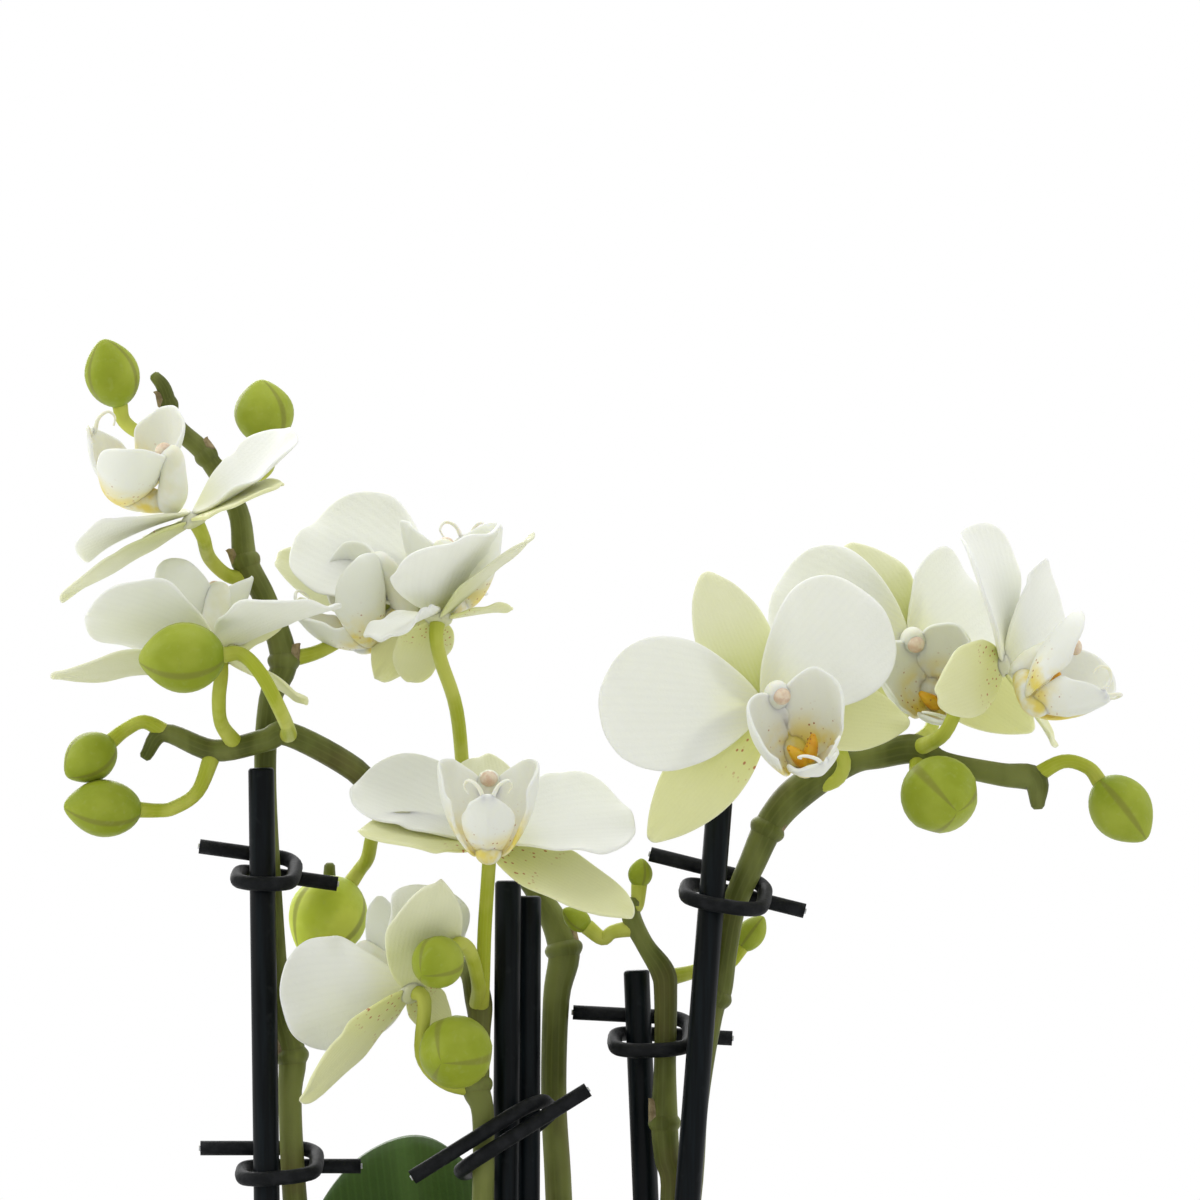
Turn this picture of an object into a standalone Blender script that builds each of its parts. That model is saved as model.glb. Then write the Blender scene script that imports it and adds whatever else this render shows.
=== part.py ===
"""Potted moth orchid (Phalaenopsis): pot, bark, crown with roots, leaves, flower spikes, flowers, buds, stakes and clips.

Run it with: blender --background --python part.py
Metres, +Z up. The origin is the centre of the pot's underside, and the plant's show side faces -Y.
"""

import math

import bmesh
import bpy
from mathutils import Matrix, Vector

MM = 0.001

# ---------------------------------------------------------------- driving dimensions
CLEARANCE = 0.3 * MM  # between pieces that touch

POT_TOP_RADIUS = 60.0 * MM
POT_BASE_RADIUS = 45.0 * MM
POT_HEIGHT = 112.0 * MM
POT_WALL = 4.0 * MM
POT_FLOOR = 6.0 * MM
POT_LIP = 2.5 * MM  # how far the rolled lip stands out
POT_LIP_HEIGHT = 9.0 * MM
POT_SIDES = 36

BARK_BELOW_RIM = 12.0 * MM
BARK_DOME = 3.0 * MM

STAKE_RADIUS = 2.1 * MM
STAKE_FOOT = 14.0 * MM  # height of every stake's lower end above the ground
STAKE_SIDES = 12

CLIP_WIRE_RADIUS = 1.2 * MM
CLIP_TAIL = 7.0 * MM


CROWN_CENTRE = Vector((0.0, 17.0 * MM, 0.0))
CROWN_RADIUS = 7.0 * MM
CROWN_TOP = 122.0 * MM
CROWN_DEPTH = 20.0 * MM  # of its pocket in the bark
ROOT_RADIUS = 2.2 * MM

LEAF_THICKNESS = 2.2 * MM
TEPAL_THICKNESS = 0.9 * MM
LIP_THICKNESS = 0.8 * MM
SEPAL_GRID = 3  # faces along and across one sepal
PETAL_GRID = 4

SEPAL_WIDTH = 14.5 * MM
PETAL_WIDTH = 24.0 * MM
FULL_REACH = 19.0 * MM  # shorter sepals and petals, which curl, are narrower too
SEPALS_BEHIND = 0.9 * MM
CORE_RADIUS = 2.4 * MM
CORE_DEPTH = 1.3 * MM


# ---------------------------------------------------------------- scene and materials
for old in list(bpy.data.objects):
    bpy.data.objects.remove(old)

parts = bpy.data.collections.new("potted_orchid")
helpers = bpy.data.collections.new("joined_pieces")
for collection in (parts, helpers):
    bpy.context.scene.collection.children.link(collection)


def material(name, colour, roughness, metallic=0.0):
    made = bpy.data.materials.new(name)
    made.use_nodes = True
    shader = made.node_tree.nodes["Principled BSDF"]
    shader.inputs["Base Color"].default_value = (*colour, 1.0)
    shader.inputs["Roughness"].default_value = roughness
    shader.inputs["Metallic"].default_value = metallic
    return made


CERAMIC = material("white_ceramic", (0.80, 0.79, 0.76), 0.35)
BARK = material("pine_bark", (0.20, 0.11, 0.06), 0.9)
ROOT = material("silvery_root", (0.45, 0.50, 0.36), 0.7)
LEAF = material("leaf_green", (0.06, 0.15, 0.04), 0.4)
STEM = material("spike_green", (0.14, 0.20, 0.06), 0.5)
PETAL = material("petal_white", (0.86, 0.87, 0.80), 0.5)
LIP = material("lip_white", (0.88, 0.86, 0.74), 0.5)
BUD = material("bud_green", (0.36, 0.47, 0.13), 0.5)
STAKE = material("stake_black", (0.02, 0.022, 0.028), 0.5)
CLIP = material("clip_black", (0.03, 0.033, 0.04), 0.6)


def add_object(name, mesh, finish, collection=parts, parent=None):
    """A new object with this mesh, smooth where its faces meet gently."""
    made = bpy.data.objects.new(name, mesh)
    mesh.materials.clear()
    mesh.materials.append(finish)
    mesh.shade_smooth()
    mesh.set_sharp_from_angle(angle=math.radians(40))
    collection.objects.link(made)
    made.parent = parent
    if collection is helpers:
        made.hide_render = True
        made.display_type = "WIRE"
    return made


def mesh_from(shape, name):
    mesh = bpy.data.meshes.new(name)
    shape.to_mesh(mesh)
    shape.free()
    return mesh


def solidify(thing, thickness, offset=0.0):
    wall = thing.modifiers.new("wall", "SOLIDIFY")
    wall.thickness = thickness
    wall.offset = offset
    wall.use_even_offset = True
    return thing


def fuse(thing, others, name="fuse"):
    """Joins closed pieces to thing, so that they grow as one body."""
    grown = bpy.data.collections.new(thing.name + "_" + name)
    helpers.children.link(grown)
    for other in others:
        grown.objects.link(other)
        helpers.objects.unlink(other)
    union = thing.modifiers.new(name, "BOOLEAN")
    union.operation = "UNION"
    union.operand_type = "COLLECTION"
    union.collection = grown
    union.solver = "EXACT"
    return thing


def frame_along(place, reach, face):
    """A matrix that puts local Y on reach and local Z as near to face as it can be."""
    y = Vector(reach).normalized()
    z = Vector(face)
    z = (z - y * z.dot(y)).normalized()
    made = Matrix((y.cross(z), y, z)).transposed().to_4x4()
    made.translation = Vector(place)
    return made


# ---------------------------------------------------------------- tubes
def smooth_path(points, per_span=3):
    """Points of a Catmull-Rom curve through the given ones; each may carry a radius as a fourth number."""
    known = [Vector(p).resized(4) if len(p) == 4 else Vector((*p, 0.0)) for p in points]
    ends = [2 * known[0] - known[1], *known, 2 * known[-1] - known[-2]]
    path = []
    for i in range(len(known) - 1):
        a, b, c, d = ends[i : i + 4]
        for k in range(per_span):
            t = k / per_span
            path.append(
                0.5 * (2 * b + (c - a) * t + (2 * a - 5 * b + 4 * c - d) * t**2 + (3 * b - a - 3 * c + d) * t**3)
            )
    path.append(known[-1])
    return path


def tube(name, path, finish, collection=parts, bevel_resolution=1):
    """A round solid along path, whose points are x, y, z and radius in metres."""
    line = bpy.data.curves.new(name + "_line", "CURVE")
    line.dimensions = "3D"
    line.bevel_depth = 1.0 * MM
    line.bevel_resolution = bevel_resolution
    line.use_fill_caps = True
    spline = line.splines.new("POLY")
    spline.points.add(len(path) - 1)
    for point, at in zip(spline.points, path):
        point.co = (at[0], at[1], at[2], 1.0)
        point.radius = at[3] / line.bevel_depth
    drawn = bpy.data.objects.new(name + "_line", line)
    helpers.objects.link(drawn)
    bpy.context.view_layer.update()
    graph = bpy.context.evaluated_depsgraph_get()
    mesh = bpy.data.meshes.new_from_object(drawn.evaluated_get(graph))
    world = drawn.matrix_world.copy()
    bpy.data.objects.remove(drawn)
    shape = bmesh.new()
    shape.from_mesh(mesh)
    bmesh.ops.remove_doubles(shape, verts=shape.verts, dist=0.01 * MM)
    bmesh.ops.recalc_face_normals(shape, faces=shape.faces)
    shape.to_mesh(mesh)
    shape.free()
    made = add_object(name, mesh, finish, collection)
    made.matrix_world = world
    return made


# ---------------------------------------------------------------- flowers
def blade(name, length, width, narrow_base, sharp_tip, lean, bend, cup, finish, collection=helpers, grid=3):
    """A petal-like sheet that grows from the origin along +Y, with its front to +Z.

    narrow_base and sharp_tip are shares of the full width lost at the two ends. lean tips the whole sheet
    forward, bend curls it along its length and cup curls it across, all in degrees.
    """
    shape = bmesh.new()
    bmesh.ops.create_grid(shape, x_segments=grid, y_segments=grid, size=1.0)
    lean, bend, cup = math.radians(lean), math.radians(bend), math.radians(cup)
    for vertex in shape.verts:
        s, t = vertex.co.x, vertex.co.y
        across = s * math.sqrt(1 - t * t / 2)
        along = (1 + t * math.sqrt(1 - s * s / 2)) / 2
        fullness = 1 - narrow_base * (1 - along) ** 2 - sharp_tip * along**3
        half = 0.5 * width * across * fullness
        angle = lean + bend * along
        if abs(bend) < 1e-4:
            y, z = length * along * math.cos(lean), length * along * math.sin(lean)
        else:
            y = length * (math.sin(angle) - math.sin(lean)) / bend
            z = length * (math.cos(lean) - math.cos(angle)) / bend
        rise = half * math.sin(abs(across) * cup / 2)
        vertex.co = (
            half * math.cos(across * cup / 2),
            y - rise * math.copysign(1, across) * math.sin(angle) if across else y,
            z + rise * math.copysign(1, across) * math.cos(angle) if across else z,
        )
    return add_object(name, mesh_from(shape, name), finish, collection)


def placed(thing, matrix, parent=None):
    thing.parent = parent
    thing.matrix_local = matrix
    return thing


def ball(name, radius, squash, finish, collection=helpers, rings=5, segments=8):
    shape = bmesh.new()
    bmesh.ops.create_uvsphere(shape, u_segments=segments, v_segments=rings, radius=radius)
    bmesh.ops.scale(shape, verts=shape.verts, vec=(1, 1, squash))
    return add_object(name, mesh_from(shape, name), finish, collection)


# Each flower: its centre, the way it faces and the way its lip points away from; then three sepals and two petals.
# Each of those: how far its tip lies from the centre, and the way its inner face looks. All in millimetres.
FLOWERS = {
    "flower_top_left": (
        ((-49.2, -14, 345.5), (-0.42, -0.25, 0.87), (0.90, 0.05, 0.45)),
        (((-22.6, 4, -11.6), (-0.45, 0.15, 0.88)), ((14, -11, 6), (-0.4, -0.2, 0.9)), ((-6, 20, -1), (-0.4, -0.2, 0.9))),
        (((16.6, 0, 14.8), (-0.6, -0.35, 0.72)), ((-17.6, 13, -7.3), (-0.4, 0.05, 0.9))),
    ),
    "flower_low_left": (
        ((-44.8, -16, 323.4), (-0.1, 0.5, 0.86), (0.55, -0.7, 0.45)),
        (((-27.2, -3, -1.6), (0.0, 0.35, 0.94)), ((14.7, -10, -6.5), (0.2, 0.35, 0.9)), ((10, 7, 6.8), (-0.2, 0.5, 0.84))),
        (((-21.3, -2, 6.5), (0.15, 0.55, 0.82)), ((17.4, -12, 8), (-0.35, 0.3, 0.89))),
    ),
    "flower_upper_middle": (
        ((-17.4, 2, 335.8), (-0.55, -0.82, 0.1), (0.25, -0.05, 0.97)),
        (((-21, 12, 4), (-0.4, -0.8, -0.3)), ((3.5, -5, -17), (-0.5, -0.8, 0.0)), ((8, 12, 15), (-0.5, -0.8, 0.2))),
        (((-9, 12, 13), (-0.4, -0.85, 0.2)), ((14, 8, 7), (-0.4, -0.9, 0.2))),
    ),
    "flower_behind_middle": (
        ((-9.7, -12, 329.7), (0.1, 0.35, 0.93), (-0.2, -0.88, 0.3)),
        (((14.7, -6, 14.5), (-0.65, 0.1, 0.7)), ((-11, -6, -7), (-0.3, -0.2, 0.9)), ((9.5, 9.5, -13.0), (0, 0.2, 0.9))),
        (((-3, -15, 13), (-0.55, 0.6, 0.43)), ((13.8, 3, -4), (0, 0.1, 1))),
    ),
    "flower_centre": (
        ((-1.6, -17, 293.9), (0.0, -0.62, 0.78), (0.0, 0.78, 0.62)),
        (((-1.3, 18, 15), (0, -0.65, 0.76)), ((-20.6, -10, 2.4), (0.15, -0.45, 0.88)), ((23.4, -8, -10.5), (0, -0.55, 0.8))),
        (((-21.3, 5, 9.7), (0.2, -0.55, 0.8)), ((23.2, 4, 3.2), (-0.1, -0.62, 0.77))),
    ),
    "flower_lowest": (
        ((-14.5, -14, 269.7), (-0.62, 0.6, 0.5), (-0.5, -0.8, 0.3)),
        (((4.0, -13, 16.5), (-0.3, 0.9, 0.2)), ((-18.4, -2, -17.3), (-0.5, 0.75, 0.5)), ((5.5, 8, -5.5), (-0.5, 0.6, 0.3))),
        (((12, 4, 15), (-0.6, 0.8, 0.1)), ((-20.3, 4, -4), (-0.2, 0.9, 0.4))),
    ),
    "flower_right_front": (
        ((42.3, -17, 314.8), (0.25, -0.95, 0.1), (-0.44, 0.0, 0.90)),
        (((-9.2, 2, 21.8), (0.15, -1, 0.1)), ((-18, -1, -21.5), (0.2, -1, 0.1)), ((24, 6, -2.5), (0.3, -0.9, 0.2))),
        (((-26.5, -3, 0.8), (0.2, -1, 0)), ((17.8, 4, 17.4), (0.25, -0.95, 0.1))),
    ),
    "flower_right_back": (
        ((66.1, 12, 321.3), (0.1, -0.95, -0.1), (-0.40, 0.0, 0.92)),
        (((-10, 3, 19.8), (0.1, -1, 0)), ((-9, 5, -14.5), (0.1, -0.8, -0.5)), ((21, 5, -11), (0.1, -0.9, -0.1))),
        (((-22, 3, 12), (0.1, -1, 0)), ((12, 10, 13), (0.3, -0.9, 0))),
    ),
    "flower_far_right": (
        ((81.5, -4, 321.8), (0.92, -0.38, -0.05), (0.0, 0.75, 0.66)),
        (((3.5, 17, 13.5), (0.85, -0.35, 0)), ((-10.5, -20, -5), (0.85, -0.45, 0)), ((10.8, 17, -12.6), (0.9, -0.2, 0.6))),
        (((-5.6, -5, 22), (0.92, -0.3, 0.1)), ((6, 21, -4), (0.9, 0, 0.2))),
    ),
}


def make_flower(name, stand, sepals, petals):
    centre, facing, dorsal = stand
    facing = Vector(facing).normalized()
    frame = frame_along(Vector(centre) * MM, Vector(dorsal) - facing * facing.dot(dorsal), facing)
    tepals = []
    for i, (reach, face) in enumerate((*sepals, *petals)):
        if i < len(sepals):
            width, narrow, sharp, lift, grid = SEPAL_WIDTH, 0.35, 0.25, SEPALS_BEHIND, SEPAL_GRID
        else:
            width, narrow, sharp, lift, grid = PETAL_WIDTH, 0.62, 0.10, 0.0, PETAL_GRID
        reach = Vector(reach) * MM
        width *= min(1.0, reach.length / FULL_REACH)
        tepal = blade(f"{name}_tepal_{i}", reach.length, width, narrow, sharp, 3, -6, 25, PETAL, grid=grid)
        root = Vector(centre) * MM - facing * lift
        tepals.append(placed(solidify(tepal, TEPAL_THICKNESS), frame_along(root, reach, face)))
    core = ball(name + "_petals", CORE_RADIUS, CORE_DEPTH / CORE_RADIUS, PETAL, parts)
    perianth = placed(core, frame @ Matrix.Translation((0, 0, -SEPALS_BEHIND)))
    fuse(perianth, tepals)

    lobes = []
    for side in (1, -1):
        lobe = blade(f"{name}_side_lobe_{side}", 16 * MM, 13 * MM, 0.55, 0.0, 0, 30, 60, LIP, grid=3)
        stand = frame_along(Vector((side * 1.5, -8.0, 4.2)) * MM, (side * 6.5, 9, 10), (-side * 0.9, 0.3, 0.2))
        lobes.append(placed(solidify(lobe, LIP_THICKNESS), frame @ stand))
    tongue = blade(name + "_mid_lobe", 15 * MM, 9 * MM, 0.6, 0.45, 0, 35, 60, LIP, grid=3)
    stand = frame_along(Vector((0, -8.5, 4.6)) * MM, (0, -0.25, 1.0), (0, 1, 0.3))
    lobes.append(placed(solidify(tongue, LIP_THICKNESS), frame @ stand))
    spine = [(0, -4, 3.4, 1.5), (0, -1.0, 4.3, 2.0), (0, 1.2, 8.0, 2.1), (0, 1.6, 10.2, 1.3)]
    column = tube(name + "_column", [Vector(p) * MM for p in spine], LIP, helpers)
    lobes.append(placed(column, frame))
    lip = placed(ball(name + "_lip", 2.2 * MM, 0.9, LIP, parts, 4, 6), frame @ Matrix.Translation(Vector((0, -6.5, 4.6)) * MM))
    fuse(lip, lobes)


for flower, (stand, sepals, petals) in FLOWERS.items():
    make_flower(flower, stand, sepals, petals)


def behind_flower(name):
    """Where the stalk of a flower ends, just behind its core."""
    centre, facing, _ = FLOWERS[name][0]
    facing = Vector(facing).normalized()
    return Vector(centre) * MM - facing * (SEPALS_BEHIND + CORE_DEPTH + 3 * CLEARANCE), facing


# ---------------------------------------------------------------- buds
# Each bud: its centre, the way its tip points, its length and its width in millimetres.
BUDS = {
    "bud_top_left": ((-62.6, 0, 368.2), (-0.25, -0.3, 1.0), 11.0, 8.9),
    "bud_top_right": ((-38.4, 10, 362.1), (-0.1, -0.2, 0.95), 10.2, 9.8),
    "bud_left_large": ((-50.0, -28, 322.7), (-1.0, 0.0, -0.05), 13.2, 11.4),
    "bud_left_upper": ((-65.8, -6, 306.5), (-0.75, -0.3, -0.6), 9.3, 8.0),
    "bud_left_lower": ((-63.5, -8, 298.4), (-1.0, -0.2, 0.05), 12.1, 9.4),
    "bud_middle_bright": ((-28.1, 11.5, 280.5), (-0.55, -0.3, -0.8), 13.8, 12.8),
    "bud_middle_small": ((-9.7, -25, 274.2), (-0.5, -0.8, -0.4), 9.2, 8.4),
    "bud_middle_low": ((-6.9, -20, 259.7), (-0.3, -0.9, -0.2), 12.9, 11.8),
    "bud_right_round": ((70.5, -12, 300.6), (0.35, -0.8, -0.35), 12.9, 12.6),
    "bud_far_right": ((100.0, -3, 298.2), (0.6, -0.1, -0.75), 11.8, 10.0),
    "bud_behind_right": ((40.5, 8, 277.7), (0.6, 0.1, 0.8), 6.5, 4.6),
    "bud_small_left": ((12.4, 3, 280.2), (-0.8, -0.1, 0.6), 5.2, 3.8),
    "bud_small_top": ((22.6, 2, 287.6), (0.1, -0.1, 1.0), 4.6, 4.0),
}


def make_bud(name, centre, tip, length, width):
    shape = bmesh.new()
    bmesh.ops.create_uvsphere(shape, u_segments=10, v_segments=7, radius=1.0)
    for vertex in shape.verts:
        along = vertex.co.z
        slim = 1.0 - 0.16 * max(along, 0.0) ** 2
        vertex.co = (vertex.co.x * slim * width / 2 * MM, vertex.co.y * slim * width / 2 * MM, along * length / 2 * MM)
    bud = add_object(name, mesh_from(shape, name), BUD)
    y, z = (0, -0.6, 0.8), Vector(tip).normalized()
    placed(bud, frame_along(Vector(centre) * MM, Vector(y) - z * z.dot(y), z))


for bud, (centre, tip, length, width) in BUDS.items():
    make_bud(bud, centre, tip, length, width)


def below_bud(name):
    """Where the stalk of a bud ends, just under its base."""
    centre, tip, length, _ = BUDS[name]
    tip = Vector(tip).normalized()
    return Vector(centre) * MM - tip * (length / 2 * MM + 2 * CLEARANCE), tip


# ---------------------------------------------------------------- flower spikes
# The routes run from the crown upwards: x, y, z and radius in millimetres.
SPIKES = {
    "spike_left": [
        (-9.7, 15.3, 111, 2.3), (-14, 12, 135, 2.3), (-23, 5, 180, 2.2), (-31, 0.5, 215, 2.1), (-33.1, 0, 235, 2.0),
        (-33.9, 0, 251, 1.9), (-33.6, 0, 258.4, 2.3), (-35.6, 0, 267.3, 1.9), (-36.9, 0, 283.4, 1.8),
        (-37.9, 0, 304, 1.8), (-37.1, 0, 315.6, 1.9), (-34.9, 0, 322.1, 2.2), (-37.9, 0.5, 331.8, 1.9),
        (-41.1, 1, 338.2, 2.0), (-42.4, 2, 346.3, 1.7), (-47.6, 3, 355.2, 1.6), (-52.4, 2, 360.0, 1.5),
        (-54.2, 1, 365.8, 1.2), (-55.8, 1, 368.0, 0.9),
    ],
    "spike_branching_left": [
        (0.9, 7.1, 111, 2.4), (3.4, 7.4, 122, 2.4), (6.4, 9.4, 136, 2.4), (9.5, 10.5, 165, 2.3), (10.3, 11, 205, 2.2), (9.4, 11, 235, 2.2),
        (8.6, 11, 251, 2.1), (9.0, 11, 267, 2.2), (10.2, 11, 275.3, 2.6), (6.5, 12, 283.4, 1.9), (0, 12, 291.5, 1.8),
        (-8.1, 8, 294.7, 1.8), (-18.5, 3, 298.5, 1.8), (-23.4, 0, 304.4, 2.0), (-33.9, -5, 310.2, 2.0),
        (-37.9, -5.2, 309.2, 1.9), (-46, -5, 307.6, 1.8), (-54.0, -4, 310.4, 1.5), (-57.1, -4, 306.6, 1.0),
    ],
    "spike_middle": [
        (-4.9, 8.4, 111, 2.2), (-6.5, 3, 135, 2.2), (-6, -4, 180, 2.1), (-3.2, -7.2, 215, 1.9), (-2.7, -7.2, 235, 1.8),
        (-2.7, -7.2, 249, 1.8), (-3.9, -6.4, 254, 2.3), (-3.3, -4.5, 262, 1.8), (-3.5, -3, 267.5, 2.2),
        (-5.6, 2, 272.5, 1.7), (-12, 10, 271, 1.5), (-22, 17, 268, 1.5), (-29.5, 20, 269.5, 1.4),
        (-29.4, 21, 276, 1.3), (-28.2, 21, 283, 1.3), (-28.0, 20, 288.5, 0.9),
    ],
    "spike_forked": [
        (9.9, 15.6, 111, 2.1), (12.6, 12.4, 135, 2.1), (18, 6.5, 175, 2.1), (24.5, 2.4, 210, 2.0), (27.8, 2.2, 235, 2.0),
        (26.9, 2.2, 242, 2.1), (26.5, 2.2, 248, 2.2), (26.6, 2.2, 257, 1.8), (26.7, 2.2, 268, 1.9),
        (26.2, 2.2, 271.8, 2.0), (23.4, 2, 276.1, 1.5), (21.2, 2, 280.5, 1.6), (21.3, 2, 283.2, 1.3),
    ],
    "spike_right": [
        (7.8, 10.7, 111, 2.4), (10.4, 7, 122, 2.4), (13, 4, 136, 2.4), (18, -0.5, 165, 2.3), (26, -2.6, 205, 2.2), (30.3, -2.7, 235, 2.1),
        (31.6, -2.7, 251, 2.0), (33.9, -2.7, 265, 2.0), (35.2, -2.7, 269, 2.2), (36.2, -2.7, 275, 2.0),
        (37.7, -2.7, 282.6, 2.0), (40.6, -2.7, 289.4, 2.2), (43.9, -2.5, 296.3, 2.5), (48.8, -1, 301.4, 2.8),
        (56.5, 1, 305.6, 2.1), (61.3, 1, 306.8, 2.2), (67.0, 0, 307.8, 2.4), (71.5, 0, 305.6, 1.8),
        (80.6, -2, 303.7, 1.9), (86.0, -3, 302.9, 2.1), (86.6, -3, 298.6, 1.1),
    ],
}

# The small stalks: the spike each grows from, and its route up to what it carries.
STALKS = {
    "flower_top_left": ("spike_left", [(-41.0, 0.8, 335.4), (-44.0, 0, 335.8), (-46.8, -3, 338.6)]),
    "flower_low_left": ("spike_branching_left", [(-42.5, -5, 308.6), (-44.6, -11, 312), (-44.8, -17, 316)]),
    "flower_upper_middle": ("spike_left", [(-34.4, 0, 322.2), (-29, 2, 323.6), (-20.5, 7, 328)]),
    "flower_behind_middle": (
        "spike_branching_left", [(-5.8, 8.8, 294.2), (-6.0, 7, 302), (-7.0, -2, 314), (-9.4, -10.5, 322)]
    ),
    "flower_centre": ("spike_middle", [(-3.2, -3.8, 266), (-2.7, -8, 270), (-2.4, -10.4, 279)]),
    "flower_lowest": ("spike_middle", [(-3.8, -6.2, 253.2), (-9, -9, 254.5), (-12.4, -14, 259)]),
    "flower_right_front": ("spike_right", [(49.5, -1, 301.5), (54.6, -2, 303.2), (54, -5, 308)]),
    "flower_right_back": ("spike_right", [(61.3, 1, 307), (66.6, 11, 308.5), (70.4, 22, 311.5), (68.4, 23.5, 317)]),
    "flower_far_right": ("spike_right", [(67.2, 0, 307.8), (71.4, -8, 310.4), (74.4, -6, 316.5)]),
    "bud_top_left": ("spike_left", [(-53.0, 2, 360.4), (-57.6, 1, 358.8)]),
    "bud_top_right": ("spike_left", [(-46.6, 3, 354.0), (-42.4, 7, 350.6), (-38.6, 10, 352.5)]),
    "bud_left_large": (
        "spike_branching_left", [(-34.2, -5, 310.2), (-33.6, -14, 310.6), (-34.6, -26, 314), (-37.6, -31, 320)]
    ),
    "bud_left_upper": ("spike_branching_left", [(-53.4, -4, 310.2), (-57.2, -4.4, 312.2)]),
    "bud_left_lower": ("spike_branching_left", [(-46.2, -5, 307), (-48.6, -6, 301), (-52.4, -6.6, 298.4)]),
    "bud_middle_bright": ("spike_branching_left", [(-18.0, 3.4, 298.2), (-20.6, 8, 294), (-21.6, 12, 290)]),
    "bud_middle_small": ("spike_middle", [(-3.6, -4, 266.5), (-3.4, -10, 270.2), (-4.6, -16, 275.4)]),
    "bud_middle_low": ("spike_middle", [(-3.9, -6.6, 254.6), (-3.2, -9.6, 258.2)]),
    "bud_right_round": ("spike_right", [(67.6, 0, 307.2), (67.0, -2, 304.6)]),
    "bud_far_right": ("spike_right", [(85.5, -3, 303), (90.6, -3, 305.8)]),
    "bud_behind_right": ("spike_forked", [(27.0, 2.4, 270.8), (31, 6, 271.6), (35, 8, 273)]),
    "bud_small_left": ("spike_forked", [(21.8, 2, 278.9), (18.2, 2.6, 278.2)]),
    "bud_small_top": ("spike_forked", [(21.3, 2, 282)]),
}
STALK_RADIUS = 1.15 * MM
STALK_FLARE = 1.2  # how much thicker a stalk is where it leaves its spike
STRAIGHT_END = 1.6 * MM  # the last stretch runs straight at what the stalk carries


def make_stalk(carried, steps):
    end, way = behind_flower(carried) if carried in FLOWERS else below_bud(carried)
    route = [(*(Vector(step) * MM), STALK_RADIUS) for step in steps]
    route[0] = (*route[0][:3], STALK_RADIUS * STALK_FLARE)
    route += [(*(end - way * STRAIGHT_END), STALK_RADIUS), (*end, STALK_RADIUS)]
    return tube(carried + "_stalk", [Vector(step) for step in route], STEM, helpers)


def spike_path(name):
    return [Vector(p) * MM for p in smooth_path(SPIKES[name], 2)]


for spike in SPIKES:
    stem = tube(spike, spike_path(spike), STEM)
    fuse(stem, [make_stalk(carried, steps) for carried, (grows_from, steps) in STALKS.items() if grows_from == spike])


# ---------------------------------------------------------------- stakes and clips
# Each stake: a point on it at the height of the clips, and its top. It runs straight down into the bark.
STAKES = {
    "stake_left": ((-37.5, -5, 235), (-38.4, -5, 304.8)),
    "stake_middle_front": ((0.9, -3, 235), (1.3, -3, 286.6)),
    "stake_middle_back": ((4.3, 2.1, 235), (4.5, 2.1, 284)),
    "stake_short": ((23.5, 7.6, 235), (22.0, 7.6, 271.8)),
    "stake_right": ((30.1, -8, 235), (35.3, -8, 299.5)),
}


def on_stake(name, height):
    low, top = (Vector(p) * MM for p in STAKES[name])
    return low + (top - low) * ((height - low.z) / (top.z - low.z))


def on_spike(name, height):
    path = spike_path(name)
    for under, over in zip(path, path[1:]):
        if under.z <= height <= over.z:
            return (under + (over - under) * ((height - under.z) / (over.z - under.z))).to_3d()
    raise ValueError(name)


def rod(name, foot, top, radius, finish, collection=parts, sides=STAKE_SIDES):
    shape = bmesh.new()
    bmesh.ops.create_cone(
        shape, segments=sides, radius1=radius, radius2=radius, depth=(top - foot).length, cap_ends=True
    )
    made = add_object(name, mesh_from(shape, name), finish, collection)
    upright = (top - foot).to_track_quat("Z", "Y").to_matrix().to_4x4()
    upright.translation = (foot + top) / 2
    return placed(made, upright)


for stake in STAKES:
    rod(stake, on_stake(stake, STAKE_FOOT), on_stake(stake, STAKES[stake][1][2] * MM), STAKE_RADIUS, STAKE)

# Each clip: its stakes, its spike, its height in millimetres, how far it tips to the right and how far its front
# hangs down in degrees, and the side where its two ends cross: 1 behind, -1 in front.
CLIPS = {
    "clip_left_upper": (("stake_left",), "spike_left", 287.6, 8, 12, 1),
    "clip_left_lower": (("stake_left",), "spike_left", 240.4, 0, 12, 1),
    "clip_middle": (("stake_middle_front", "stake_middle_back"), "spike_middle", 245.0, -32, -10, -1),
    "clip_short": (("stake_short",), "spike_forked", 261.0, 3, 15, 1),
    "clip_right_upper": (("stake_right",), "spike_right", 284.5, 14, 15, 1),
}
CLIP_TURN_POINTS = 12


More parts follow.
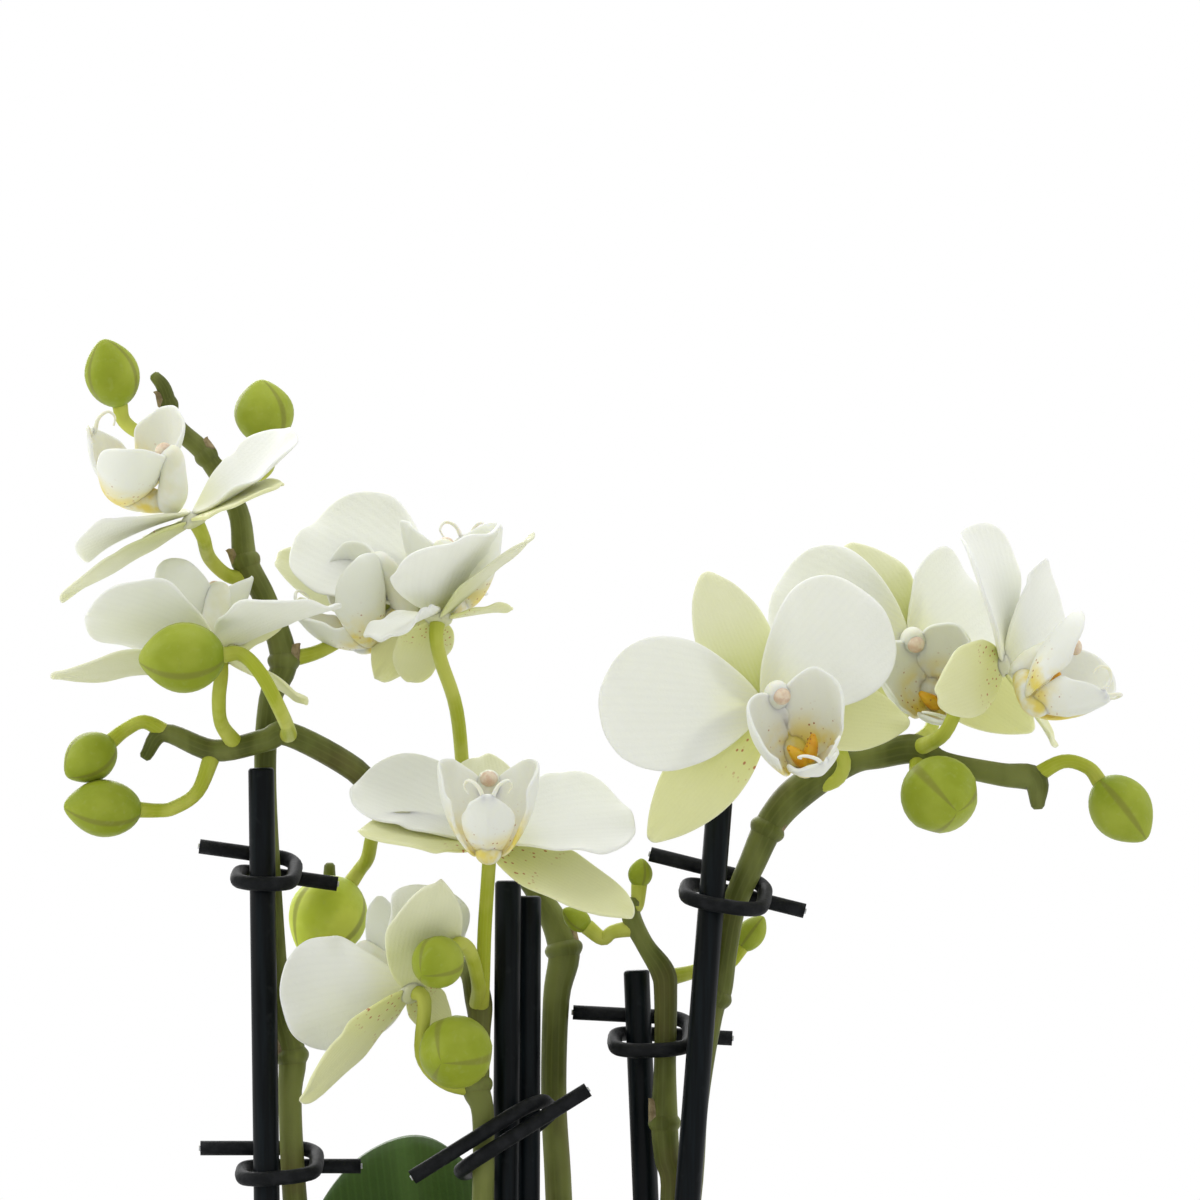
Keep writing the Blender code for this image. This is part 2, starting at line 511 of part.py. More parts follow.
def make_clip(name, stakes, spike, height, tip, nod, crossing):
    """A wire that goes once round a stake and a spike, and whose two ends cross and stand out sideways."""
    held = [on_stake(stake, height * MM) for stake in stakes] + [on_spike(spike, height * MM)]
    reach = STAKE_RADIUS + CLIP_WIRE_RADIUS + 2 * CLEARANCE
    low = Vector([min(p[i] for p in held) - reach for i in range(2)])
    high = Vector([max(p[i] for p in held) + reach for i in range(2)])
    tip, nod = math.radians(tip), math.radians(nod)
    half_wide = (high - low).x / 2 / math.cos(tip)
    half_deep = (high - low).y / 2 / math.cos(nod)
    apart = CLIP_WIRE_RADIUS + CLEARANCE
    path = [(-half_wide - CLIP_TAIL, half_deep, apart), (-0.3 * half_wide, half_deep, apart)]
    for k in range(CLIP_TURN_POINTS + 1):
        share = k / CLIP_TURN_POINTS
        angle = math.radians(60 - 300 * share)
        x, y = math.cos(angle), math.sin(angle)
        squared = (x**4 + y**4) ** -0.25
        path.append((half_wide * x * squared, half_deep * y * squared, apart * (1 - 2 * share)))
    path += [(0.3 * half_wide, half_deep, -apart), (half_wide + CLIP_TAIL, half_deep, -apart)]
    turn = Matrix.Rotation(tip, 4, "Y") @ Matrix.Rotation(nod, 4, "X")
    middle = Vector((*((low + high) / 2), height * MM))
    points = [(*(middle + turn @ Vector((x, crossing * y, z))), CLIP_WIRE_RADIUS) for x, y, z in path]
    tube(name, [Vector(p) for p in points], CLIP)


for clip, values in CLIPS.items():
    make_clip(clip, *values)


# ---------------------------------------------------------------- leaves
# Each leaf: where it leaves the crown, the way it starts, its face, length, width, bend (mm and degrees).
LEAVES = {
    "leaf_upright": ((-3, 25.5, 110), (-0.07, 0.10, 1.0), (0.1, -1, 0.1), 138, 54, -16),
    "leaf_left": ((-9.5, 20.5, 114), (-0.75, 0.05, 0.65), (0.65, 0, 0.75), 150, 56, -75),
    "leaf_right": ((9.5, 20.5, 114), (0.75, 0.12, 0.65), (-0.65, 0, 0.75), 142, 55, -75),
    "leaf_back_right": ((5.5, 26, 110), (0.45, 0.6, 0.65), (-0.3, -0.5, 0.8), 128, 52, -60),
    "leaf_front_left": ((-10, 5, 109.5), (-0.40, -0.82, 0.44), (0.1, 0.3, 0.9), 118, 50, -55),
}


def make_leaf(name, foot, start, face, length, width, bend):
    leaf = blade(name, length * MM, width * MM, 0.55, 0.15, 0, bend, -18, LEAF, parts, grid=5)
    placed(solidify(leaf, LEAF_THICKNESS), frame_along(Vector(foot) * MM, start, face))


for leaf, values in LEAVES.items():
    make_leaf(leaf, *values)


# ---------------------------------------------------------------- pot, bark, crown and roots
def turned(name, profile, finish, sides, collection=parts):
    """A solid turned about Z from a profile that runs down its outer side."""
    shape = bmesh.new()
    corners = [shape.verts.new((x, 0.0, z)) for x, z in profile]
    for above, below in zip(corners, corners[1:]):
        shape.edges.new((above, below))
    made = add_object(name, mesh_from(shape, name), finish, collection)
    screw = made.modifiers.new("turn", "SCREW")
    screw.steps = screw.render_steps = sides
    screw.use_merge_vertices = True
    screw.merge_threshold = 0.00001
    screw.use_smooth_shade = True
    return made


def cut(thing, cutters, name="cut"):
    away = bpy.data.collections.new(thing.name + "_" + name)
    helpers.children.link(away)
    for cutter in cutters:
        away.objects.link(cutter)
        helpers.objects.unlink(cutter)
    difference = thing.modifiers.new(name, "BOOLEAN")
    difference.operation = "DIFFERENCE"
    difference.operand_type = "COLLECTION"
    difference.collection = away
    difference.solver = "EXACT"
    return thing


def wall_radius(height):
    """The pot's outer radius at a height, under its lip."""
    return POT_BASE_RADIUS + (POT_TOP_RADIUS - POT_LIP - POT_BASE_RADIUS) * height / POT_HEIGHT


bark_top = POT_HEIGHT - BARK_BELOW_RIM
pot_profile = [
    (0.0, POT_FLOOR),
    (wall_radius(POT_FLOOR) - POT_WALL, POT_FLOOR),
    (wall_radius(POT_HEIGHT) - POT_WALL, POT_HEIGHT - 1.2 * MM),
    (wall_radius(POT_HEIGHT) - POT_WALL + 1.2 * MM, POT_HEIGHT),
    (POT_TOP_RADIUS - 1.2 * MM, POT_HEIGHT),
    (POT_TOP_RADIUS, POT_HEIGHT - 1.2 * MM),
    (POT_TOP_RADIUS, POT_HEIGHT - POT_LIP_HEIGHT),
    (wall_radius(POT_HEIGHT - POT_LIP_HEIGHT - POT_LIP), POT_HEIGHT - POT_LIP_HEIGHT - POT_LIP),
    (wall_radius(2 * MM), 2 * MM),
    (POT_BASE_RADIUS - 1.5 * MM, 0.0),
    (0.0, 0.0),
]
turned("pot", pot_profile, CERAMIC, POT_SIDES)

bark_low = POT_FLOOR + CLEARANCE
inner = POT_WALL + 2 * CLEARANCE
bark = turned(
    "bark_medium",
    [
        (0.0, bark_top + BARK_DOME),
        (0.5 * wall_radius(bark_top), bark_top + 0.75 * BARK_DOME),
        (wall_radius(bark_top) - inner, bark_top),
        (wall_radius(bark_low) - inner, bark_low),
        (0.0, bark_low),
    ],
    BARK,
    POT_SIDES,
)

# Some roots go down into the bark and some lie on it: x, y, z in millimetres from the crown's foot.
DEEP_ROOTS = (
    [(0, 0, 0), (-9, -4, -8), (-20, -10, -24), (-26, -16, -48)],
    [(0, 0, 0), (9, -2, -9), (20, -6, -28), (24, -14, -54)],
    [(0, 0, 0), (-2, 7, -12), (-8, 14, -34), (-10, 16, -60)],
)
LYING_ROOTS = (
    [(-4, 0, 5.0), (-13, 4, 6.5), (-27, 8, 4.2), (-39, 2, 3.4), (-47, -9, 3.0)],
    [(4, 2, 5.0), (13, 8, 6.5), (26, 11, 4.2), (38, 4, 3.4), (44, -10, 3.0)],
    [(0, -4, 5.0), (-7, -14, 6.6), (-16, -27, 6.0), (-27, -38, 4.0)],
    [(2, 4, 5.0), (4, 14, 6.2), (-4, 24, 4.2), (-16, 28, 3.4)],
)
crown_foot = CROWN_CENTRE + Vector((0, 0, bark_top + BARK_DOME - CROWN_DEPTH))
lying_level = CROWN_CENTRE + Vector((0, 0, bark_top - 0.6 * MM))


def crown_pieces(grown_by, collection):
    """The crown's stub and its roots, each made larger by grown_by."""
    stub = rod(
        "crown_stub", crown_foot - Vector((0, 0, grown_by)), CROWN_CENTRE + Vector((0, 0, CROWN_TOP)),
        CROWN_RADIUS + grown_by, ROOT, collection,
    )
    made = [stub]
    for start, routes in ((crown_foot + Vector((0, 0, 6 * MM)), DEEP_ROOTS), (lying_level, LYING_ROOTS)):
        for route in routes:
            points = [start + Vector(p) * MM for p in route]
            points[-1] += (points[-1] - points[-2]).normalized() * grown_by
            points = [(*p, ROOT_RADIUS + grown_by) for p in points]
            made.append(tube("root", smooth_path(points, 2), ROOT, helpers))
    return made


crown, *roots = crown_pieces(0.0, parts)
crown.name = "crown_with_roots"
fuse(crown, roots)

cutters = crown_pieces(CLEARANCE, helpers)
for stake in STAKES:
    foot = on_stake(stake, STAKE_FOOT - CLEARANCE)
    cutters.append(
        rod(stake + "_hole", foot, on_stake(stake, POT_HEIGHT), STAKE_RADIUS + CLEARANCE, BARK, helpers)
    )
cut(bark, cutters)
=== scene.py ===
"""A white moth orchid with five flower stems in a glazed pot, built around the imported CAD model."""

import math
import random

import bmesh
import bpy
from mathutils import Matrix, Vector


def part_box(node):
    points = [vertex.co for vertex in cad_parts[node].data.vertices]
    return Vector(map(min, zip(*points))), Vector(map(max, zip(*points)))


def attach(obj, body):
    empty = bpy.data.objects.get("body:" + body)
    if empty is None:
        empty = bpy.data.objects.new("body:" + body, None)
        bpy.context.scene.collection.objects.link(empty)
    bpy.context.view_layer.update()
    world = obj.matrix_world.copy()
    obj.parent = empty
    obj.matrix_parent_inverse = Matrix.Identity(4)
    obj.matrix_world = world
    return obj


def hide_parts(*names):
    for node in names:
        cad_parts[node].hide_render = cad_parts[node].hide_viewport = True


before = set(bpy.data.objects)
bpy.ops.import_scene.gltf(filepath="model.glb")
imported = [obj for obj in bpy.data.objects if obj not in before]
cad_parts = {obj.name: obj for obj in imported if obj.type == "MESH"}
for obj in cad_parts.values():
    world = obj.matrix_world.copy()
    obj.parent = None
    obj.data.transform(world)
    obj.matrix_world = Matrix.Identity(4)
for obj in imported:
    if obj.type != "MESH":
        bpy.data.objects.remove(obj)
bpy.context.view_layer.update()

MM = 0.001


# ---------------------------------------------------------------- stage, light and camera
# The plant stands on a plain pale floor in a bright white room. Soft panels stand at both sides,
# behind it and above, so light comes through the petals as well as onto them.
FLOOR_RADIUS = 1.6
WHITE_ROOM = 0.78  # how bright the room is to everything but the camera
LENS = 334.8
VIEW_FROM = (16.1 * MM, -1.8, 331.8 * MM)

floor_mesh = bmesh.new()
bmesh.ops.create_circle(floor_mesh, cap_ends=True, segments=64, radius=FLOOR_RADIUS)
floor_data = bpy.data.meshes.new("floor")
floor_mesh.to_mesh(floor_data)
floor_mesh.free()
floor = bpy.data.objects.new("floor", floor_data)
bpy.context.scene.collection.objects.link(floor)
floor_finish = bpy.data.materials.new("pale_floor")
floor_finish.use_nodes = True
floor_shader = floor_finish.node_tree.nodes["Principled BSDF"]
floor_shader.inputs["Base Color"].default_value = (0.82, 0.82, 0.81, 1)
floor_shader.inputs["Roughness"].default_value = 0.8
floor_data.materials.append(floor_finish)

room = bpy.data.worlds.new("white_room")
room.use_nodes = True
bpy.context.scene.world = room
room_tree = room.node_tree
seen = room_tree.nodes.new("ShaderNodeLightPath")
brightness = room_tree.nodes.new("ShaderNodeMapRange")
brightness.inputs["To Min"].default_value = WHITE_ROOM
brightness.inputs["To Max"].default_value = 1.0
room_tree.links.new(seen.outputs["Is Camera Ray"], brightness.inputs["Value"])
room_tree.nodes["Background"].inputs["Color"].default_value = (1, 1, 1, 1)
room_tree.links.new(brightness.outputs["Result"], room_tree.nodes["Background"].inputs["Strength"])

# Each panel: where it stands and its size, in metres, and its power in watts.
PANELS = {
    "panel_left": ((-0.9, 0.0, 0.75), 0.6, 2.6),
    "panel_right": ((0.85, 0.25, 0.55), 0.45, 0.9),
    "panel_behind": ((-0.25, 0.9, 0.75), 0.8, 6.0),
    "panel_above": ((0.1, 0.0, 1.25), 0.7, 2.6),
}
plant_middle = Vector((0.0, 0.0, 0.3))
for panel, (stand, size, watts) in PANELS.items():
    lamp = bpy.data.lights.new(panel, "AREA")
    lamp.size = size
    lamp.energy = watts
    lit = bpy.data.objects.new(panel, lamp)
    lit.location = stand
    lit.rotation_euler = (plant_middle - Vector(stand)).to_track_quat("-Z", "Y").to_euler()
    bpy.context.scene.collection.objects.link(lit)

camera_data = bpy.data.cameras.new("camera")
camera_data.lens = LENS
camera_data.sensor_width = 36
camera = bpy.data.objects.new("camera", camera_data)
camera.location = VIEW_FROM
camera.rotation_euler = (math.radians(90), 0, 0)
bpy.context.scene.collection.objects.link(camera)
bpy.context.scene.camera = camera
bpy.context.scene.view_settings.view_transform = "Standard"


# ---------------------------------------------------------------- petals and sepals
# Each open flower has three sepals behind and two broad petals in front, grown from one small core
# at the end of its stalk. They are thin, waxy and near white, greener towards the core and on the
# sepals, with faint veins.
def finish(name, **constants):
    """A named finish: one Principled shader, with its constant values on its own sockets."""
    material = bpy.data.materials.new(name)
    material.use_nodes = True
    shader = material.node_tree.nodes["Principled BSDF"]
    for socket, value in constants.items():
        shader.inputs[socket.replace("_", " ")].default_value = value
    return material, material.node_tree


def over_surface(tree, kind="Object", stretch=(1, 1, 1)):
    """Coordinates for a pattern: the piece's own UV map, or its place in metres."""
    source = tree.nodes.new("ShaderNodeTexCoord")
    mapping = tree.nodes.new("ShaderNodeMapping")
    mapping.inputs["Scale"].default_value = stretch
    tree.links.new(source.outputs[kind], mapping.inputs["Vector"])
    return mapping.outputs["Vector"]


def cloudy(tree, scale, detail=3.0, stretch=(1, 1, 1)):
    noise = tree.nodes.new("ShaderNodeTexNoise")
    noise.inputs["Scale"].default_value = scale
    noise.inputs["Detail"].default_value = detail
    tree.links.new(over_surface(tree, "Object", stretch), noise.inputs["Vector"])
    return noise.outputs["Fac"]


def striped(tree, scale, along, distortion):
    """Stripes that run along a piece; along is how fast they change on their way."""
    wave = tree.nodes.new("ShaderNodeTexWave")
    wave.bands_direction = "X"
    wave.inputs["Scale"].default_value = scale
    wave.inputs["Distortion"].default_value = distortion
    wave.inputs["Detail"].default_value = 2.0
    tree.links.new(over_surface(tree, "UV", (1.0, along, 1.0)), wave.inputs["Vector"])
    return wave.outputs["Fac"]


def spotted(tree, scale, size, kind="Object", stretch=(1, 1, 1)):
    """Small round spots: 1 inside a spot and 0 outside."""
    cells = tree.nodes.new("ShaderNodeTexVoronoi")
    cells.inputs["Scale"].default_value = scale
    tree.links.new(over_surface(tree, kind, stretch), cells.inputs["Vector"])
    return remap(cells.outputs["Distance"], size, size * 0.6)


def remap(value, low, high, to_low=0.0, to_high=1.0):
    tree = value.id_data
    node = tree.nodes.new("ShaderNodeMapRange")
    node.interpolation_type = "SMOOTHSTEP"
    limits = {"From Min": low, "From Max": high, "To Min": to_low, "To Max": to_high}
    for socket, number in limits.items():
        node.inputs[socket].default_value = number
    tree.links.new(value, node.inputs["Value"])
    return node.outputs["Result"]


def along_and_across(tree):
    """How far along a piece from its base, and how far across it, both from 0 to 1."""
    split = tree.nodes.new("ShaderNodeSeparateXYZ")
    tree.links.new(over_surface(tree, "UV"), split.inputs[0])
    return split.outputs["Y"], split.outputs["X"]


def combine(one, other, operation="MULTIPLY"):
    """one times other, or another of the Math node's operations on them."""
    tree = one.id_data
    node = tree.nodes.new("ShaderNodeMath")
    node.operation = operation
    tree.links.new(one, node.inputs[0])
    if isinstance(other, float):
        node.inputs[1].default_value = other
    else:
        tree.links.new(other, node.inputs[1])
    return node.outputs[0]


def tint(share, under, over):
    """under where share is 0 and over where it is 1; each is a colour or another mix."""
    tree = share.id_data
    node = tree.nodes.new("ShaderNodeMix")
    node.data_type = "RGBA"
    tree.links.new(share, node.inputs[0])
    for socket, colour in ((node.inputs[6], under), (node.inputs[7], over)):
        if isinstance(colour, tuple):
            socket.default_value = (*colour, 1)
        else:
            tree.links.new(colour, socket)
    return node.outputs[2]


def stain(colour, pattern, low, high, share, over):
    """colour with over laid on it, by share at most, where the pattern runs from low to high."""
    return tint(combine(remap(pattern, low, high), share), colour, over)


def dress(material, colour, height=None, depth=0.0, roughness=None):
    """The material with its patterns joined to its shader; depth is in metres."""
    tree = material.node_tree
    shader = tree.nodes["Principled BSDF"]
    tree.links.new(colour, shader.inputs["Base Color"])
    if roughness is not None:
        tree.links.new(roughness, shader.inputs["Roughness"])
    if height is not None:
        relief = tree.nodes.new("ShaderNodeBump")
        relief.inputs["Distance"].default_value = depth
        tree.links.new(height, relief.inputs["Height"])
        tree.links.new(relief.outputs["Normal"], shader.inputs["Normal"])
    return material


def petal_finish(name, face_colour, base_colour, base_reach, dotted=False):
    material, tree = finish(
        name, Roughness=0.5, Specular_IOR_Level=0.2, Subsurface_Weight=0.7,
        Subsurface_Radius=(1.0, 1.0, 0.85), Subsurface_Scale=0.0012, Sheen_Weight=0.1,
    )
    along = along_and_across(tree)[0]
    veins = striped(tree, 5.5, 0.12, 2.2)
    colour = tint(remap(along, base_reach, 0.0), face_colour, base_colour)
    shade = tuple(channel * 0.93 for channel in face_colour)
    colour = stain(colour, veins, 0.45, 1.0, 0.16, shade)
    patches = cloudy(tree, 90.0)
    lighter = tuple(min(1.0, channel * 1.05) for channel in face_colour)
    colour = stain(colour, patches, 0.4, 0.75, 0.5, lighter)
    if dotted:
        dots = spotted(tree, 1.0, 0.26, "UV", (13.0, 20.0, 1.0))
        zone = combine(remap(along, 0.04, 0.12), remap(along, 0.48, 0.30))
        colour = tint(combine(combine(dots, zone), 0.85), colour, (0.42, 0.13, 0.06))
    grain = combine(cloudy(tree, 2600.0, 2.0), combine(veins, 0.3), "ADD")
    return dress(material, colour, grain, 0.00006)


PETAL_WHITE = petal_finish("petal_white", (0.80, 0.815, 0.755), (0.78, 0.79, 0.52), 0.42)
SEPAL_CREAM = petal_finish("sepal_cream", (0.70, 0.71, 0.52), (0.58, 0.61, 0.24), 0.75)
SEPAL_DOTTED = petal_finish("sepal_dotted", (0.71, 0.72, 0.43), (0.65, 0.67, 0.25), 0.65, dotted=True)

PETAL_WIDTH = 25.5 * MM
SEPAL_WIDTH = 14.5 * MM
FULL_REACH = 19.0 * MM  # shorter sepals and petals, which curl, are narrower too
SEPALS_BEHIND = 0.9 * MM
TISSUE = 0.55 * MM
CORE_RADIUS = 2.4 * MM

# Each flower: its centre, the way it faces and the way its lip points away from; then three sepals
# and two petals. Each of those: how far its tip lies from the centre, the way its inner face looks
# and, where it curls forward, by how many degrees. All in millimetres.
FLOWERS = {
    "flower_top_left": (
        ((-49.2, -14, 345.5), (-0.42, -0.25, 0.87), (0.70, -0.65, 0.30)),
        (
            ((-22.6, 4, -11.6), (-0.45, 0.15, 0.88)),
            ((14, -11, 6), (-0.4, -0.2, 0.9)),
            ((-6, 20, -1), (-0.4, -0.2, 0.9)),
        ),
        (((17.2, 0, 13.2), (-0.58, -0.30, 0.76), 30), ((-17.6, 7, -6.3), (-0.4, 0.05, 0.9))),
    ),
    "flower_low_left": (
        ((-44.8, -16, 323.4), (-0.1, 0.5, 0.86), (0.55, -0.7, 0.45)),
        (
            ((-27.2, -3, -1.6), (0.0, 0.35, 0.94)),
            ((14.7, -10, -6.5), (0.2, 0.35, 0.9)),
            ((10, 7, 6.8), (-0.2, 0.5, 0.84)),
        ),
        (((-21.3, -2, 6.5), (0.15, 0.55, 0.82)), ((17.4, -12, 8), (-0.35, 0.3, 0.89))),
    ),
    "flower_upper_middle": (
        ((-11.3, 3, 331.8), (-0.85, -0.20, 0.45), (0.45, -0.10, 0.85)),
        (
            ((-27.1, 12, 8), (-0.3, -0.8, 0.3)),
            ((-9.4, -6, -12.4), (-0.5, -0.8, 0.1)),
            ((-3.5, -3, -13), (-0.5, -0.8, 0.2)),
        ),
        (((-20.6, 10, 12.6), (-0.3, -0.62, 0.6)), ((6, 8, 3), (-0.4, -0.9, 0.2))),
    ),
    "flower_behind_middle": (
        ((-9.7, -12, 329.7), (0.1, 0.35, 0.93), (-0.2, -0.88, 0.3)),
        (
            ((14.7, -6, 14.5), (-0.65, 0.1, 0.7)),
            ((11.8, 5, 2.6), (-0.3, 0.0, 0.95)),
            ((-5, 10, -9.5), (0, 0.2, 0.9)),
        ),
        (((4.5, -14, 12.4), (-0.55, 0.6, 0.43)), ((-9.5, -8, -4.2), (-0.45, -0.22, 0.85))),
    ),
    "flower_centre": (
        ((-1.6, -17, 293.9), (0.0, -0.62, 0.78), (0.0, 0.78, 0.62)),
        (
            ((-1.3, 18, 15), (0, -0.65, 0.76)),
            ((-20.6, -10, 2.4), (0.15, -0.45, 0.88)),
            ((23.4, -8, -10.5), (0, -0.55, 0.8)),
        ),
        (((-21.3, 5, 9.7), (0.2, -0.55, 0.8)), ((23.2, 4, 3.2), (-0.1, -0.62, 0.77))),
    ),
    "flower_lowest": (
        ((-14.5, -14, 269.7), (-0.62, 0.6, 0.5), (-0.5, -0.8, 0.3)),
        (
            ((4.0, -13, 19), (-0.3, 0.9, 0.2)),
            ((-18.4, -2, -17.3), (-0.62, 0.42, 0.66)),
            ((5.5, 8, -5.5), (-0.5, 0.6, 0.3)),
        ),
        (((7, 4, 15), (-0.75, 0.65, 0.1)), ((-20.3, 4, -4), (-0.2, 0.9, 0.4))),
    ),
    "flower_right_front": (
        ((42.3, -17, 314.8), (0.25, -0.95, 0.1), (-0.44, 0.0, 0.90)),
        (
            ((-9.2, 2, 21.8), (0.15, -1, 0.1)),
            ((-18, -1, -21.5), (0.2, -1, 0.1)),
            ((24, 6, -2.5), (0.3, -0.9, 0.2)),
        ),
        (((-26.5, -3, 0.8), (0.2, -1, 0)), ((17.8, 4, 17.4), (0.25, -0.95, 0.1))),
    ),
    "flower_right_back": (
        ((66.1, 12, 325.3), (0.1, -0.95, -0.1), (-0.40, 0.0, 0.92)),
        (
            ((-10, 3, 15.8), (0.1, -1, 0)),
            ((-9, 5, -18.5), (0.1, -0.8, -0.5)),
            ((21, 5, -15), (0.1, -0.9, -0.1)),
        ),
        (((-22, 3, 8), (0.1, -1, 0)), ((12, 10, 9), (0.3, -0.9, 0))),
    ),
    "flower_far_right": (
        ((81.5, -4, 321.8), (0.93, -0.33, 0.18), (-0.1, 0.75, 0.66)),
        (
            ((3.5, 17, 13.5), (0.85, -0.35, 0)),
            ((-10.5, -20, -5), (0.85, -0.45, 0)),
            ((10.8, 17, -12.6), (0.9, -0.2, 0.6)),
        ),
        (((-5.6, -5, 22), (0.92, -0.3, 0.1)), ((10, 13, 11), (0.6, -0.75, -0.2))),
    ),
}


def frame_along(place, reach, face):
    """A matrix that puts local Y on reach and local Z as near to face as it can be."""
    y = Vector(reach).normalized()
    z = Vector(face)
    z = (z - y * z.dot(y)).normalized()
    made = Matrix((y.cross(z), y, z)).transposed().to_4x4()
    made.translation = Vector(place)
    return made


def sheet(length, width, narrow, sharp, lean, bend, cup, wave, crease, seed, grid=14):
    """A leaf-like sheet that grows from the origin along +Y with its front to +Z.

    narrow and sharp are the shares of width lost at base and tip, and lean, bend and cup are in
    degrees. wave ruffles the margin and crease is the depth of the groove down the middle.
    """
    shape = bmesh.new()
    uv = shape.loops.layers.uv.new("UVMap")
    bmesh.ops.create_grid(shape, x_segments=grid, y_segments=grid, size=1.0)
    lean, bend, cup = math.radians(lean), math.radians(bend), math.radians(cup)
    chance = random.Random(seed)
    turns = [(chance.uniform(*rates), chance.uniform(0, 6.3)) for rates in ((2.2, 4.2), (5, 8))]
    for vertex in shape.verts:
        s, t = vertex.co.x, vertex.co.y
        across = s * math.sqrt(1 - t * t / 2)
        along = (1 + t * math.sqrt(1 - s * s / 2)) / 2
        for loop in vertex.link_loops:
            loop[uv].uv = (0.5 + across / 2, along)
        fullness = 1 - narrow * (1 - along) ** 2 - sharp * along**3
        half = 0.5 * width * across * fullness
        angle = lean + bend * along
        if abs(bend) < 1e-4:
            y, z = length * along * math.cos(lean), length * along * math.sin(lean)
        else:
            y = length * (math.sin(angle) - math.sin(lean)) / bend
            z = length * (math.cos(lean) - math.cos(angle)) / bend
        rim = max(abs(s), abs(t)) ** 4
        ripple = sum(math.sin(n * math.atan2(t, s) + start) for n, start in turns)
        rise = abs(half) * math.sin(abs(across) * cup / 2) + wave * rim * ripple * min(1.0, 3 * along)
        rise -= crease * math.exp(-((across / 0.13) ** 2)) * math.sin(math.pi * min(1.0, along * 1.1))
        side = half * math.cos(across * cup / 2)
        vertex.co = (side, y - rise * math.sin(angle), z + rise * math.cos(angle))
    return shape


def thicken(shape, thickness):
    """Gives a sheet its thickness and faces it outwards."""
    bmesh.ops.recalc_face_normals(shape, faces=shape.faces)
    bmesh.ops.solidify(shape, geom=shape.faces[:], thickness=thickness)
    bmesh.ops.recalc_face_normals(shape, faces=shape.faces)


def gather(whole, shape, matrix, finish_index=0):
    """Puts a finished shape into whole, in its place."""
    bmesh.ops.transform(shape, matrix=matrix, verts=shape.verts)
    for face in shape.faces:
        face.material_index = finish_index
        face.smooth = True
    spare = bpy.data.meshes.new("spare")
    shape.to_mesh(spare)
    shape.free()
    whole.from_mesh(spare)
    bpy.data.meshes.remove(spare)


def piece(name, whole, finishes, stands_for=(), rounds=1):
    """A finished piece: its mesh, its finishes, and what the frame has to know about it."""
    data = bpy.data.meshes.new(name)
    whole.to_mesh(data)
    whole.free()
    for material in finishes:
        data.materials.append(material)
    made = bpy.data.objects.new(name, data)
    bpy.context.scene.collection.objects.link(made)
    if rounds:
        smooth = made.modifiers.new("smooth", "SUBSURF")
        smooth.levels = smooth.render_levels = rounds
    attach(made, "root")
    if stands_for:
        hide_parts(*stands_for)
    return made


def lump(radius, stretch=(1, 1, 1), rings=10, segments=14):
    shape = bmesh.new()
    shape.loops.layers.uv.new("UVMap")
    bmesh.ops.create_uvsphere(
        shape, u_segments=segments, v_segments=rings, radius=radius, calc_uvs=True
    )
    bmesh.ops.scale(shape, verts=shape.verts, vec=stretch)
    return shape


def flower_frame(name):
    centre, facing, dorsal = FLOWERS[name][0]
    facing = Vector(facing).normalized()
    return frame_along(Vector(centre) * MM, Vector(dorsal) - facing * facing.dot(dorsal), facing)


for number, (name, (stand, sepals, petals)) in enumerate(FLOWERS.items()):
    centre = Vector(stand[0]) * MM
    facing = Vector(stand[1]).normalized()
    perianth = bmesh.new()
    for i, (reach, face, *curl) in enumerate((*sepals, *petals)):
        reach = Vector(reach) * MM
        share = min(1.0, reach.length / FULL_REACH)
        seed = 10 * number + i
        if i < len(sepals):
            tepal = sheet(
                reach.length, SEPAL_WIDTH * share, narrow=0.30, sharp=0.50, lean=-1, bend=-4, cup=12,
                wave=0.3 * MM, crease=-0.12 * MM, seed=seed,
            )
            index, lift = (1 if i == 0 else 2), SEPALS_BEHIND
        else:
            lean, bend = (-curl[0] / 2, curl[0]) if curl else (5, -15)
            tepal = sheet(
                reach.length, PETAL_WIDTH * share, narrow=0.60, sharp=0.05, lean=lean, bend=bend,
                cup=30, wave=0.5 * MM, crease=0.0, seed=seed,
            )
            index, lift = 0, 0.0
        thicken(tepal, TISSUE)
        gather(perianth, tepal, frame_along(centre - facing * lift, reach, face), index)
    core = lump(CORE_RADIUS, (1, 1, 0.55))
    gather(perianth, core, flower_frame(name) @ Matrix.Translation((0, 0, -SEPALS_BEHIND)), 1)
    finishes = [PETAL_WHITE, SEPAL_CREAM, SEPAL_DOTTED]
    piece(name + "_tepals", perianth, finishes, [name + "_petals"])


# ---------------------------------------------------------------- lips
# The lip of each flower is its third petal: a bowl of two upright side lobes with red-brown dots, a
# tongue that ends in two thin curls, and an orange callus. Above it stands the white column with
# its peach anther cap.
def lip_finish():
    material, tree = finish(
        "lip_flesh", Roughness=0.42, Specular_IOR_Level=0.25, Subsurface_Weight=0.5,
        Subsurface_Radius=(1.0, 1.0, 0.7), Subsurface_Scale=0.0014,
    )
    along, across = along_and_across(tree)
    patches = cloudy(tree, 260.0)
    yellow = combine(remap(along, 0.55, 0.10), remap(patches, 0.30, 0.62))
    colour = tint(yellow, (0.80, 0.82, 0.75), (0.78, 0.64, 0.14))
    dots = spotted(tree, 1.0, 0.24, "UV", (12.0, 16.0, 1.0))
    zone = combine(remap(along, 0.62, 0.40), remap(along, 0.03, 0.15))
    middle = combine(remap(across, 0.18, 0.36), remap(across, 0.86, 0.66))
    spots = combine(combine(dots, zone), middle)
    colour = tint(combine(spots, 0.9), colour, (0.40, 0.14, 0.06))
    return dress(material, colour, cloudy(tree, 1800.0), 0.00005)


